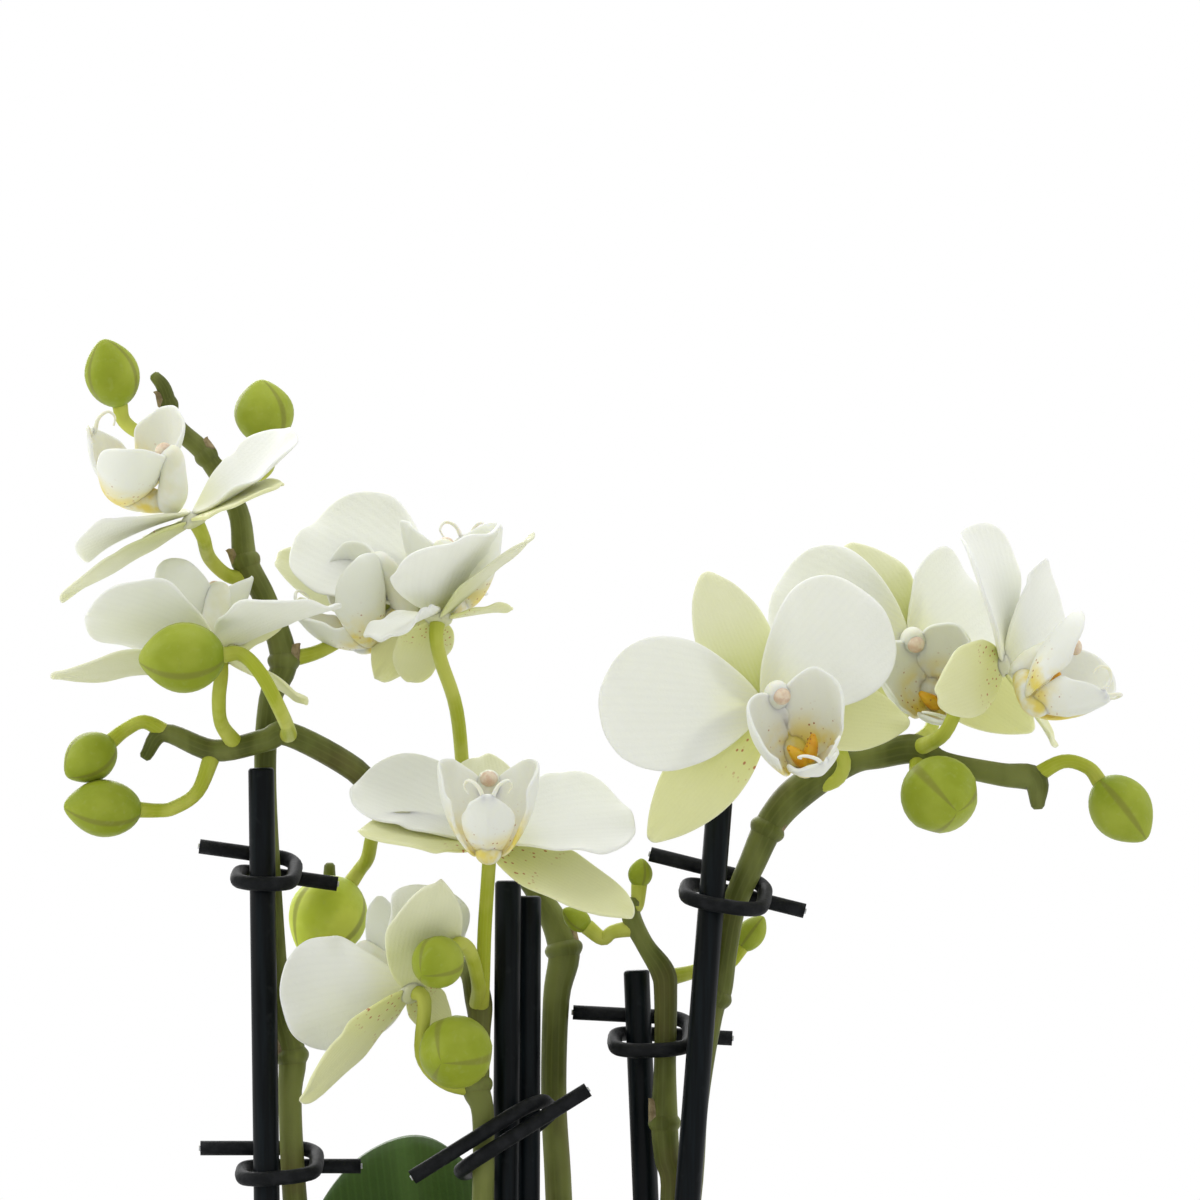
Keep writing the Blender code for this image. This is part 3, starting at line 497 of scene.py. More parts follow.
def flesh(name, colour, other, scale, roughness=0.4, depth=0.00006):
    """Plain living tissue that varies softly between two colours."""
    material, tree = finish(
        name, Roughness=roughness, Specular_IOR_Level=0.2, Subsurface_Weight=0.3,
        Subsurface_Radius=(1.0, 0.8, 0.4), Subsurface_Scale=0.0012,
    )
    patches = cloudy(tree, scale)
    colour = tint(remap(patches, 0.35, 0.65), colour, other)
    return dress(material, colour, cloudy(tree, scale * 6), depth)


def callus_finish():
    material, tree = finish(
        "callus_orange", Roughness=0.3, Subsurface_Weight=0.2, Subsurface_Scale=0.001,
    )
    patches = cloudy(tree, 500.0)
    colour = tint(remap(patches, 0.35, 0.6), (0.72, 0.33, 0.004), (0.80, 0.47, 0.02))
    dots = spotted(tree, 1100.0, 0.22)
    colour = tint(combine(dots, 0.7), colour, (0.33, 0.08, 0.02))
    return dress(material, colour)


LIP_FLESH = lip_finish()
COLUMN_WHITE = flesh("column_white", (0.85, 0.86, 0.78), (0.80, 0.80, 0.62), 220.0)
ANTHER_PEACH = flesh("anther_peach", (0.80, 0.68, 0.52), (0.68, 0.50, 0.36), 900.0)
CALLUS_ORANGE = callus_finish()
LIP_SCALE = 1.15  # the thin lip is fuller than the solid one that stands for it


def smooth_path(points, per_span=3):
    """Points of a Catmull-Rom curve through the given ones; a fourth number is a radius."""
    known = [Vector(p).resized(4) if len(p) == 4 else Vector((*p, 0.0)) for p in points]
    ends = [2 * known[0] - known[1], *known, 2 * known[-1] - known[-2]]
    path = []
    for i in range(len(known) - 1):
        a, b, c, d = ends[i : i + 4]
        for k in range(per_span):
            t = k / per_span
            square, cube = 2 * a - 5 * b + 4 * c - d, 3 * b - a - 3 * c + d
            path.append(0.5 * (2 * b + (c - a) * t + square * t**2 + cube * t**3))
    path.append(known[-1])
    return path


def ring_edges(ring):
    """The edges of a ring, each once, in the order of its corners."""
    edges = (edge for corner in ring for edge in corner.link_edges)
    return list(dict.fromkeys(edge for edge in edges if all(end in ring for end in edge.verts)))


def tube(path, sides=14, rounded=True):
    """A closed round solid along path, whose points are x, y, z and radius; its UV runs along it."""
    shape = bmesh.new()
    uv = shape.loops.layers.uv.new("UVMap")
    spots = [Vector(p).to_3d() for p in path]
    sizes = [p[3] for p in path]
    if rounded:
        way_in, way_out = (spots[0] - spots[1]).normalized(), (spots[-1] - spots[-2]).normalized()
        spots = [spots[0] + way_in * sizes[0] * 0.45, *spots, spots[-1] + way_out * sizes[-1] * 0.45]
        sizes = [sizes[0] * 0.62, *sizes, sizes[-1] * 0.62]
    rings, heading, far = [], None, [0.0]
    for i, (spot, size) in enumerate(zip(spots, sizes)):
        way = (spots[min(i + 1, len(spots) - 1)] - spots[max(i - 1, 0)]).normalized()
        side = (way.orthogonal() if heading is None else heading - way * heading.dot(way)).normalized()
        heading = side
        turn = Matrix((side, way.cross(side), way)).transposed().to_4x4()
        turn.translation = spot
        ring = bmesh.ops.create_circle(shape, segments=sides, radius=size, matrix=turn)["verts"]
        if rings:
            far.append(far[-1] + (spot - spots[i - 1]).length)
            sides_to_join = ring_edges(rings[-1]) + ring_edges(ring)
            faces = bmesh.ops.bridge_loops(shape, edges=sides_to_join)["faces"]
            for face in faces:
                for loop in face.loops:
                    turned = ring.index(loop.vert) if loop.vert in ring else rings[-1].index(loop.vert)
                    loop[uv].uv = (turned / sides, far[-1] if loop.vert in ring else far[-2])
        rings.append(ring)
    for ring in (rings[0], rings[-1]):
        bmesh.ops.contextual_create(shape, geom=ring)
    bmesh.ops.recalc_face_normals(shape, faces=shape.faces)
    return shape


def path_in_mm(points, per_span=4):
    return smooth_path([(*(Vector(p[:3]) * MM), p[3] * MM) for p in points], per_span)


# Parts of the lip, in millimetres, with X to the flower's right, Y up and Z the way it faces. Each
# point of a path has its radius too.
LIP_BASE = Vector((0, -9.6, 4.2)) * MM
CLAW = [(0, -2.5, 2.6, 1.5), (0, -5.5, 3.4, 1.9), (0, -9.5, 5.2, 2.0), (0, -10, 7.0, 1.2)]
COLUMN = [
    (0, -3.2, 2.0, 1.8), (0, -1.4, 3.8, 2.2), (0, 0.2, 6.4, 1.9), (0, 1.2, 8.6, 1.8),
    (0, 1.3, 9.8, 1.5),
]
ANTHER_PLACE = Vector((0, 0.5, 10.1)) * MM
# The right-hand curl of the tongue and horn of the callus; the left-hand ones mirror them.
CURL = [
    (0.5, -10.0, 15.0, 0.38), (1.4, -9.0, 16.6, 0.30), (2.7, -8.0, 16.8, 0.24),
    (3.3, -7.8, 15.6, 0.19), (2.7, -8.2, 14.6, 0.14),
]
HORN = [(0, -9.4, 5.6, 1.0), (0.7, -8.5, 7.4, 1.15), (1.5, -7.2, 8.6, 0.85), (2.0, -6.2, 9.0, 0.4)]


def on_side(side, points):
    return path_in_mm([(side * x, y, z, radius) for x, y, z, radius in points])


for number, name in enumerate(FLOWERS):
    frame_here = flower_frame(name) @ Matrix.Scale(LIP_SCALE, 4)
    lip = bmesh.new()
    for side in (1, -1):
        lobe = sheet(
            15.5 * MM, 13.5 * MM, narrow=0.40, sharp=0.0, lean=-15, bend=55, cup=75,
            wave=0.3 * MM, crease=0, seed=300 + 2 * number + side,
        )
        thicken(lobe, 0.5 * MM)
        foot = Vector((side * 1.8, -9.6, 4.2)) * MM
        stand = frame_along(foot, (side * 5.5, 10.0, 5.5), (-side * 0.65, 0.0, 0.75))
        gather(lip, lobe, frame_here @ stand, 0)
    tongue = sheet(
        12.5 * MM, 11.5 * MM, narrow=0.45, sharp=0.55, lean=-10, bend=60, cup=70, wave=0.3 * MM,
        crease=0.4 * MM, seed=400 + number,
    )
    thicken(tongue, 0.6 * MM)
    gather(lip, tongue, frame_here @ frame_along(LIP_BASE, (0, -0.42, 1.0), (0, 1, 0.4)), 0)
    gather(lip, tube(path_in_mm(CLAW), 10), frame_here, 0)
    for side in (1, -1):
        gather(lip, tube(on_side(side, CURL), 8), frame_here, 1)
    for side in (1, -1):
        gather(lip, tube(on_side(side, HORN), 10), frame_here, 3)
    gather(lip, tube(path_in_mm(COLUMN), 14), frame_here, 1)
    cap = lump(1.3 * MM, (1.0, 0.95, 0.8))
    gather(lip, cap, frame_here @ Matrix.Translation(ANTHER_PLACE), 2)
    finishes = [LIP_FLESH, COLUMN_WHITE, ANTHER_PEACH, CALLUS_ORANGE]
    piece(name + "_lip_lobes", lip, finishes, [name + "_lip"])


# ---------------------------------------------------------------- buds
# Closed buds hang or stand at the ends of the stems. Each is three sepals folded edge to edge, so
# it is a plump egg with three soft seams and a small pointed tip, yellow-green with darker seams.
# Each bud: its centre, the way its tip points, its length and its width in millimetres.
BUDS = {
    "bud_top_left": ((-62.6, 0, 368.2), (-0.25, -0.3, 1.0), 11.0, 8.9),
    "bud_top_right": ((-38.4, 10, 362.1), (-0.1, -0.2, 0.95), 10.2, 9.8),
    "bud_left_large": ((-50.0, -28, 322.7), (-1.0, 0.0, -0.05), 13.2, 11.4),
    "bud_left_upper": ((-65.8, -6, 306.5), (-0.75, -0.3, -0.6), 9.3, 8.0),
    "bud_left_lower": ((-63.5, -8, 298.4), (-1.0, -0.2, 0.05), 12.1, 9.4),
    "bud_middle_bright": ((-28.1, 11.5, 280.5), (-0.55, -0.3, -0.8), 13.8, 12.8),
    "bud_middle_small": ((-9.7, -25, 274.2), (-0.5, -0.8, -0.4), 9.2, 8.4),
    "bud_middle_low": ((-6.9, -20, 259.7), (-0.3, -0.9, -0.2), 12.9, 11.8),
    "bud_right_round": ((70.5, -12, 300.6), (0.35, -0.8, -0.35), 12.9, 12.6),
    "bud_far_right": ((100.0, -3, 298.2), (0.6, -0.1, -0.75), 11.8, 10.0),
    "bud_behind_right": ((40.5, 8, 277.7), (0.6, 0.1, 0.8), 6.5, 4.6),
    "bud_small_left": ((12.4, 3, 280.2), (-0.8, -0.1, 0.6), 5.2, 3.8),
    "bud_small_top": ((22.6, 2, 287.6), (0.1, -0.1, 1.0), 4.6, 4.0),
}


def bud_finish(name, deep, pale):
    material, tree = finish(
        name, Roughness=0.45, Specular_IOR_Level=0.14, Subsurface_Weight=0.25,
        Subsurface_Radius=(0.8, 1.0, 0.3), Subsurface_Scale=0.0015,
    )
    along = along_and_across(tree)[0]
    patches = cloudy(tree, 130.0)
    colour = tint(remap(patches, 0.35, 0.7), deep, pale)
    colour = stain(colour, along, 0.45, 0.05, 0.5, (0.19, 0.28, 0.015))
    seams = striped(tree, 0.955, 0.0, 0.0)
    colour = stain(colour, seams, 0.94, 1.0, 0.6, (0.20, 0.20, 0.04))
    freckles = cloudy(tree, 900.0, 2.0)
    colour = stain(colour, freckles, 0.55, 0.75, 0.10, (0.52, 0.55, 0.22))
    return dress(material, colour, cloudy(tree, 1500.0), 0.00005)


BUD_GREEN = bud_finish("bud_green", (0.275, 0.335, 0.022), (0.36, 0.42, 0.048))
# A brighter copy of the bud finish, for the one bud that the flowers around it shade: painted light.
BUD_PAINTED_LIGHT = bud_finish("bud_green_painted_light", (0.56, 0.66, 0.06), (0.72, 0.80, 0.13))
SEAM_TURN = Vector((0, -0.6, 0.8))  # every bud has one seam turned this way
SEAM_DEPTH = 0.055  # a share of the bud's radius
TIP_SLIMMER, BASE_SLIMMER, TIP_POINT = 0.16, 0.06, 0.09
for name, (centre, tip, length, width) in BUDS.items():
    bud = lump(1.0, rings=20, segments=30)
    for vertex in bud.verts:
        x, y, z = vertex.co
        turn = math.atan2(y, x)
        seam = 1 - SEAM_DEPTH * max(0.0, math.cos(3 * turn)) ** 12 * math.sqrt(max(0.0, 1 - z * z))
        slim = (1.0 - TIP_SLIMMER * max(z, 0.0) ** 2 - BASE_SLIMMER * max(-z, 0.0) ** 2) * seam
        point = TIP_POINT * max(0.0, z) ** 9
        x, y = x * slim * width / 2 * MM, y * slim * width / 2 * MM
        vertex.co = (x, y, (z + point) * length / 2 * MM)
    whole = bmesh.new()
    z = Vector(tip).normalized()
    gather(whole, bud, frame_along(Vector(centre) * MM, SEAM_TURN - z * z.dot(SEAM_TURN), z))
    # The bud shaded among the middle flowers takes the brighter copy, so light is painted on it.
    green = BUD_PAINTED_LIGHT if name == "bud_middle_bright" else BUD_GREEN
    piece(name + "_closed", whole, [green], [name], 0)


# ---------------------------------------------------------------- spikes and stalks
# Five flower stems rise from the crown, round and green-brown, with a swollen joint and a dry
# papery bract every few centimetres. The paler stalks of the flowers and buds grow out of them and
# are one piece with them. Each spike: its path and radii in millimetres.
SPIKES = {
    "spike_left": [
        (-9.7, 15.3, 111, 2.3), (-14, 12, 135, 2.3), (-23, 5, 180, 2.2), (-31, 0.5, 215, 2.1),
        (-33.1, 0, 235, 2.0), (-33.9, 0, 251, 1.9), (-33.6, 0, 258.4, 2.3), (-35.6, 0, 267.3, 1.9),
        (-36.9, 0, 283.4, 1.8), (-37.9, 0, 304, 1.8), (-37.1, 0, 315.6, 1.9),
        (-34.9, 0, 322.1, 2.2), (-37.9, 0.5, 331.8, 1.9), (-41.1, 1, 338.2, 2.0),
        (-42.4, 2, 346.3, 1.7), (-47.6, 3, 355.2, 1.6), (-52.4, 2, 360.0, 1.5),
        (-54.2, 1, 365.8, 1.2), (-55.8, 1, 368.0, 0.9),
    ],
    "spike_branching_left": [
        (0.9, 7.1, 111, 2.4), (3.4, 7.4, 122, 2.4), (6.4, 9.4, 136, 2.4), (9.5, 10.5, 165, 2.3),
        (10.3, 11, 205, 2.2), (9.4, 11, 235, 2.2), (8.6, 11, 251, 2.1), (9.0, 11, 267, 2.2),
        (10.2, 11, 275.3, 2.6), (6.5, 12, 283.4, 1.9), (0, 12, 291.5, 1.8), (-8.1, 8, 294.7, 1.8),
        (-18.5, 3, 298.5, 1.8), (-23.4, 0, 304.4, 2.0), (-33.9, -5, 310.2, 2.0),
        (-37.9, -5.2, 309.2, 1.9), (-46, -5, 307.6, 1.8), (-54.0, -4, 310.4, 1.5),
        (-57.1, -4, 306.6, 1.0),
    ],
    "spike_middle": [
        (-4.9, 8.4, 111, 2.2), (-6.5, 3, 135, 2.2), (-6, -4, 180, 2.1), (-3.2, -7.2, 215, 1.9),
        (-2.7, -7.2, 235, 1.8), (-2.7, -7.2, 249, 1.8), (-3.9, -6.4, 254, 2.3),
        (-3.3, -4.5, 262, 1.8), (-3.5, -3, 267.5, 2.2), (-5.6, 2, 272.5, 1.7), (-12, 10, 271, 1.5),
        (-22, 17, 268, 1.5), (-29.5, 20, 269.5, 1.4), (-29.4, 21, 276, 1.3), (-28.2, 21, 283, 1.3),
        (-28.0, 20, 288.5, 0.9),
    ],
    "spike_forked": [
        (9.9, 15.6, 111, 2.1), (12.6, 12.4, 135, 2.1), (18, 6.5, 175, 2.1), (24.5, 2.4, 210, 2.0),
        (27.8, 2.2, 235, 2.0), (26.9, 2.2, 242, 2.1), (26.5, 2.2, 248, 2.2), (26.6, 2.2, 257, 1.8),
        (26.7, 2.2, 268, 1.9), (26.2, 2.2, 271.8, 2.0), (23.4, 2, 276.1, 1.5),
        (21.2, 2, 280.5, 1.6), (21.3, 2, 283.2, 1.3),
    ],
    "spike_right": [
        (7.8, 10.7, 111, 2.4), (10.4, 7, 122, 2.4), (13, 4, 136, 2.4), (18, -0.5, 165, 2.3),
        (26, -2.6, 205, 2.2), (30.3, -2.7, 235, 2.1), (31.6, -2.7, 251, 2.0),
        (33.9, -2.7, 265, 2.0), (35.2, -2.7, 269, 2.2), (36.2, -2.7, 275, 2.0),
        (37.7, -2.7, 282.6, 2.0), (40.6, -2.7, 289.4, 2.2), (43.9, -2.5, 296.3, 2.5),
        (48.8, -1, 301.4, 2.8), (56.5, 1, 305.6, 2.1), (61.3, 1, 306.8, 2.2), (67.0, 0, 307.8, 2.4),
        (71.5, 0, 305.6, 1.8), (80.6, -2, 303.7, 1.9), (86.0, -3, 302.9, 2.1),
        (86.6, -3, 298.6, 1.1),
    ],
}

# The small stalks: the spike each grows from, and its route up to what it carries.
STALKS = {
    "flower_top_left": ("spike_left", [(-41.0, 0.8, 335.4), (-44.0, 0, 335.8), (-46.8, -3, 338.6)]),
    "flower_low_left": (
        "spike_branching_left", [(-42.5, -5, 308.6), (-44.6, -11, 312), (-44.8, -17, 316)]
    ),
    "flower_upper_middle": ("spike_left", [(-34.4, 0, 322.2), (-29, 2, 323.6), (-20.5, 7, 328)]),
    "flower_behind_middle": (
        "spike_branching_left",
        [(-5.8, 8.8, 294.2), (-6.0, 7, 302), (-7.0, -2, 314), (-9.4, -10.5, 322)],
    ),
    "flower_centre": ("spike_middle", [(-3.2, -3.8, 266), (-2.7, -8, 270), (-2.4, -10.4, 279)]),
    "flower_lowest": ("spike_middle", [(-3.8, -6.2, 253.2), (-9, -9, 254.5), (-12.4, -14, 259)]),
    "flower_right_front": ("spike_right", [(49.5, -1, 301.5), (54.6, -2, 303.2), (54, -5, 308)]),
    "flower_right_back": (
        "spike_right", [(61.3, 1, 307), (66.6, 11, 308.5), (70.4, 22, 311.5), (68.4, 23.5, 317)]
    ),
    "flower_far_right": ("spike_right", [(67.2, 0, 307.8), (71.4, -8, 310.4), (74.4, -6, 316.5)]),
    "bud_top_left": ("spike_left", [(-53.0, 2, 360.4), (-57.6, 1, 358.8)]),
    "bud_top_right": ("spike_left", [(-46.6, 3, 354.0), (-42.4, 7, 350.6), (-38.6, 10, 352.5)]),
    "bud_left_large": (
        "spike_branching_left",
        [(-34.2, -5, 310.2), (-33.6, -14, 310.6), (-34.6, -26, 314), (-37.6, -31, 320)],
    ),
    "bud_left_upper": ("spike_branching_left", [(-53.4, -4, 310.2), (-57.2, -4.4, 312.2)]),
    "bud_left_lower": (
        "spike_branching_left", [(-46.2, -5, 307), (-48.6, -6, 301), (-52.4, -6.6, 298.4)]
    ),
    "bud_middle_bright": (
        "spike_branching_left", [(-18.0, 3.4, 298.2), (-20.6, 8, 294), (-21.6, 12, 290)]
    ),
    "bud_middle_small": ("spike_middle", [(-3.6, -4, 266.5), (-3.4, -10, 270.2), (-4.6, -16, 275.4)]),
    "bud_middle_low": ("spike_middle", [(-3.9, -6.6, 254.6), (-3.2, -9.6, 258.2)]),
    "bud_right_round": ("spike_right", [(67.6, 0, 307.2), (67.0, -2, 304.6)]),
    "bud_far_right": ("spike_right", [(85.5, -3, 303), (90.6, -3, 305.8)]),
    "bud_behind_right": ("spike_forked", [(27.0, 2.4, 270.8), (31, 6, 271.6), (35, 8, 273)]),
    "bud_small_left": ("spike_forked", [(21.8, 2, 278.9), (18.2, 2.6, 278.2)]),
    "bud_small_top": ("spike_forked", [(21.3, 2, 282)]),
}
STALK_RADIUS = 1.15 * MM
STRAIGHT_END = 3.2 * MM
JOINT_SWELL = ((-1.6, 0.9), (-0.7, 1.16), (0.2, 1.2), (1.3, 0.9))  # millimetres along, share of radius
# The joints of each spike: height in millimetres, side to the right or left, and size of the bract.
BRACTS = {
    "spike_left": (
        (160, 1, 9), (258.4, -1, 6.5), (322.1, 1, 5), (338.2, -1, 4.5), (355.2, 1, 4), (363.4, -1, 4.5),
    ),
    "spike_branching_left": ((150, -1, 9), (212, 1, 9), (275.3, 1, 7.5)),
    "spike_middle": ((165, 1, 9), (254, -1, 6.5)),
    "spike_forked": ((160, -1, 8), (247.5, -1, 6.8)),
    "spike_right": ((150, 1, 9), (214, -1, 9), (268, -1, 6), (295, 1, 5)),
}


def stem_finish(name, deep, pale, joint):
    material, tree = finish(
        name, Roughness=0.45, Specular_IOR_Level=0.14, Subsurface_Weight=0.15,
        Subsurface_Radius=(0.6, 1.0, 0.2), Subsurface_Scale=0.001,
    )
    patches = cloudy(tree, 140.0, stretch=(1, 1, 0.3))
    colour = tint(remap(patches, 0.38, 0.66), deep, pale)
    stains = cloudy(tree, 60.0)
    colour = stain(colour, stains, 0.52, 0.74, 0.5, joint)
    lines = striped(tree, 4.0, 6.0, 3.0)
    colour = stain(colour, lines, 0.7, 1.0, 0.18, pale)
    return dress(material, colour, cloudy(tree, 1400.0), 0.00006)


STEM_GREEN = stem_finish(
    "stem_green", (0.085, 0.100, 0.018), (0.200, 0.225, 0.060), (0.120, 0.085, 0.035)
)
STALK_GREEN = stem_finish("stalk_green", (0.38, 0.43, 0.03), (0.54, 0.57, 0.11), (0.42, 0.43, 0.08))
BRACT_BROWN = flesh("bract_brown", (0.20, 0.15, 0.075), (0.34, 0.27, 0.15), 700.0, 0.7, 0.0001)


def spike_line(name):
    return path_in_mm(SPIKES[name], 6)


def stalk_line(carried, steps):
    if carried in FLOWERS:
        centre, facing, _ = FLOWERS[carried][0]
        way, reach = Vector(facing).normalized(), SEPALS_BEHIND
    else:
        centre, tip, length, _ = BUDS[carried]
        way, reach = Vector(tip).normalized(), (length / 2 - 0.6) * MM
    end = Vector(centre) * MM - way * reach
    route = [(*(Vector(step) * MM), STALK_RADIUS) for step in steps]
    route[0] = (*route[0][:3], STALK_RADIUS * 1.25)
    route += [(*(end - way * STRAIGHT_END), STALK_RADIUS), (*end, STALK_RADIUS * 1.15)]
    return smooth_path(route, 5)


def at_height(path, height):
    """Where a path that climbs passes a height, its radius there, and the way it goes."""
    for under, over in zip(path, path[1:]):
        if under.z <= height <= over.z:
            share = (height - under.z) / (over.z - under.z)
            return under.lerp(over, share), (over - under).to_3d().normalized()
    return path[-1], (path[-1] - path[-2]).to_3d().normalized()


for number, name in enumerate(SPIKES):
    spike = bmesh.new()
    path = spike_line(name)
    gather(spike, tube(path, 20), Matrix())
    for carried, (grows_from, steps) in STALKS.items():
        if grows_from == name:
            gather(spike, tube(stalk_line(carried, steps), 16), Matrix(), 1)
    for height, side, length in BRACTS[name]:
        spot, way = at_height(path, height * MM)
        out = Vector((side, -0.35, 0))
        out = (out - way * out.dot(way)).normalized()
        bract = sheet(
            0.58 * length * MM, 2.2 * spot.w, narrow=0.0, sharp=0.80, lean=0, bend=8, cup=150,
            wave=0.1 * MM, crease=0, seed=500 + number, grid=10,
        )
        thicken(bract, 0.25 * MM)
        foot = spot.to_3d() + out * (spot.w + 0.2 * MM)
        gather(spike, bract, frame_along(foot, way + out * 0.04, -out), 2)
        ring = [(*(spot.to_3d() + way * z * MM), spot.w * swell) for z, swell in JOINT_SWELL]
        gather(spike, tube(smooth_path(ring, 3), 20), Matrix())
    piece(name + "_stem", spike, [STEM_GREEN, STALK_GREEN, BRACT_BROWN], [name], 0)


# ---------------------------------------------------------------- stakes
# Five thin straight stakes pushed into the bark hold the stems up. They are steel rods in a smooth
# blue-black coating, with slightly rounded ends.
STAKE_RADIUS = 2.1 * MM
# Each stake: a point on it at the height of the clips, and its top.
STAKES = {
    "stake_left": ((-37.5, -5, 235), (-38.4, -5, 304.8)),
    "stake_middle_front": ((0.9, -3, 235), (1.3, -3, 286.6)),
    "stake_middle_back": ((4.3, 2.1, 235), (4.5, 2.1, 284)),
    "stake_short": ((23.5, 7.6, 235), (22.0, 7.6, 271.8)),
    "stake_right": ((30.1, -8, 235), (35.3, -8, 299.5)),
}


def coated_finish():
    material, tree = finish("stake_coating", Specular_IOR_Level=0.12)
    streaks = cloudy(tree, 1200.0, stretch=(1, 1, 0.06))
    colour = tint(remap(streaks, 0.35, 0.7), (0.0012, 0.0024, 0.0034), (0.0045, 0.0080, 0.0105))
    dust = cloudy(tree, 420.0, 5.0)
    colour = stain(colour, dust, 0.60, 0.80, 0.08, (0.10, 0.11, 0.12))
    return dress(material, colour, streaks, 0.00003, remap(streaks, 0.3, 0.7, 0.30, 0.42))


STAKE_COATING = coated_finish()


def on_stake(name, height):
    low, top = (Vector(p) * MM for p in STAKES[name])
    return low + (top - low) * ((height - low.z) / (top.z - low.z))


for name in STAKES:
    low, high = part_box(name)
    foot, top = on_stake(name, low.z), on_stake(name, high.z)
    shape = bmesh.new()
    bmesh.ops.create_cone(
        shape, segments=32, radius1=STAKE_RADIUS, radius2=STAKE_RADIUS, depth=(top - foot).length,
        cap_ends=True,
    )
    rims = [edge for edge in shape.edges if len({round(v.co.z, 5) for v in edge.verts}) == 1]
    bmesh.ops.bevel(
        shape, geom=rims, offset=0.5 * MM, segments=3, profile=0.5, affect="EDGES", material=-1
    )
    upright = (top - foot).to_track_quat("Z", "Y").to_matrix().to_4x4()
    upright.translation = (foot + top) / 2
    stake = bmesh.new()
    gather(stake, shape, upright)
    piece(name + "_rod", stake, [STAKE_COATING], [name], 0)


# ---------------------------------------------------------------- clips
# A soft-covered wire goes once round a stake and its stem, and its two ends cross and stand out
# sideways. The cover is dull charcoal rubber, cut square at the ends, where the bright wire core
# shows.
CLIP_WIRE_RADIUS = 1.2 * MM
WIRE_CORE_RADIUS = 0.45 * MM
CLIP_TAIL = 7.0 * MM
CLEARANCE = 0.3 * MM
# Each clip: its stakes, its spike, its height, its tip and nod in degrees, and the side where its
# ends cross.
CLIPS = {
    "clip_left_upper": (("stake_left",), "spike_left", 287.6, 8, 12, 1),
    "clip_left_lower": (("stake_left",), "spike_left", 240.4, 0, 12, 1),
    "clip_middle": (("stake_middle_front", "stake_middle_back"), "spike_middle", 245.0, -32, -10, -1),
    "clip_short": (("stake_short",), "spike_forked", 261.0, 3, 15, 1),
    "clip_right_upper": (("stake_right",), "spike_right", 284.5, 14, 15, 1),
}
CLIP_TURN_POINTS = 12
CLIP_START, CLIP_SWEEP = 60, 300  # degrees: where the loop starts, and how far it goes round


def rubber_finish():
    material, tree = finish("clip_rubber", Roughness=0.55, Specular_IOR_Level=0.14)
    patches = cloudy(tree, 600.0)
    colour = tint(remap(patches, 0.35, 0.7), (0.004, 0.005, 0.006), (0.011, 0.012, 0.014))
    return dress(material, colour, cloudy(tree, 2500.0), 0.00008)


CLIP_RUBBER = rubber_finish()
WIRE_CORE = flesh("wire_core", (0.50, 0.51, 0.52), (0.62, 0.62, 0.63), 1500.0, 0.35)

for name, (stakes, spike, height, tip, nod, crossing) in CLIPS.items():
    held = [on_stake(stake, height * MM) for stake in stakes]
    held.append(at_height(spike_line(spike), height * MM)[0])
    reach = STAKE_RADIUS + CLIP_WIRE_RADIUS + 2 * CLEARANCE
    low = Vector([min(p[i] for p in held) - reach for i in range(2)])
    high = Vector([max(p[i] for p in held) + reach for i in range(2)])
    tip, nod = math.radians(tip), math.radians(nod)
    half_wide = (high - low).x / 2 / math.cos(tip)
    half_deep = (high - low).y / 2 / math.cos(nod)
    apart = CLIP_WIRE_RADIUS + CLEARANCE
    path = [(-half_wide - CLIP_TAIL, half_deep, apart), (-0.3 * half_wide, half_deep, apart)]
    for k in range(CLIP_TURN_POINTS + 1):
        share = k / CLIP_TURN_POINTS
        angle = math.radians(CLIP_START - CLIP_SWEEP * share)
        x, y = math.cos(angle), math.sin(angle)
        squared = (x**4 + y**4) ** -0.25
        path.append((half_wide * x * squared, half_deep * y * squared, apart * (1 - 2 * share)))
    path += [(0.3 * half_wide, half_deep, -apart), (half_wide + CLIP_TAIL, half_deep, -apart)]
    turn = Matrix.Rotation(tip, 4, "Y") @ Matrix.Rotation(nod, 4, "X")
    middle = Vector((*((low + high) / 2), height * MM))
    points = [(*(middle + turn @ Vector((x, crossing * y, z))), CLIP_WIRE_RADIUS) for x, y, z in path]
    clip = bmesh.new()
    gather(clip, tube(smooth_path(points, 4), 18, rounded=False), Matrix())
    for end, before in ((points[0], points[1]), (points[-1], points[-2])):
        end, before = Vector(end[:3]), Vector(before[:3])
        way = (end - before).normalized()
        core = [(*(end + way * along * MM), WIRE_CORE_RADIUS) for along in (-0.5, 0.25)]
        gather(clip, tube(core, 12, rounded=False), Matrix(), 1)
    piece(name + "_wire", clip, [CLIP_RUBBER, WIRE_CORE], [name], 0)


# ---------------------------------------------------------------- leaves
# Broad strap leaves, thick and leathery, spring from the crown in two ranks. Each has a groove down
# its middle and a smooth deep green surface with faint lengthwise lines. Each leaf: where it leaves
# the crown, the way it starts, its face, length, width and bend.
LEAVES = {
    "leaf_upright": ((-3, 25.5, 110), (-0.09, 0.10, 1.0), (0.1, -1, 0.1), 138, 60, -16),
    "leaf_left": ((-9.5, 20.5, 114), (-0.75, 0.05, 0.65), (0.65, 0, 0.75), 150, 56, -75),
    "leaf_right": ((9.5, 20.5, 114), (0.75, 0.12, 0.65), (-0.65, 0, 0.75), 142, 55, -75),
    "leaf_back_right": ((5.5, 26, 110), (0.45, 0.6, 0.65), (-0.3, -0.5, 0.8), 128, 52, -60),
    "leaf_front_left": ((-10, 5, 109.5), (-0.40, -0.82, 0.44), (0.1, 0.3, 0.9), 118, 50, -55),
}
LEAF_THICKNESS = 2.0 * MM


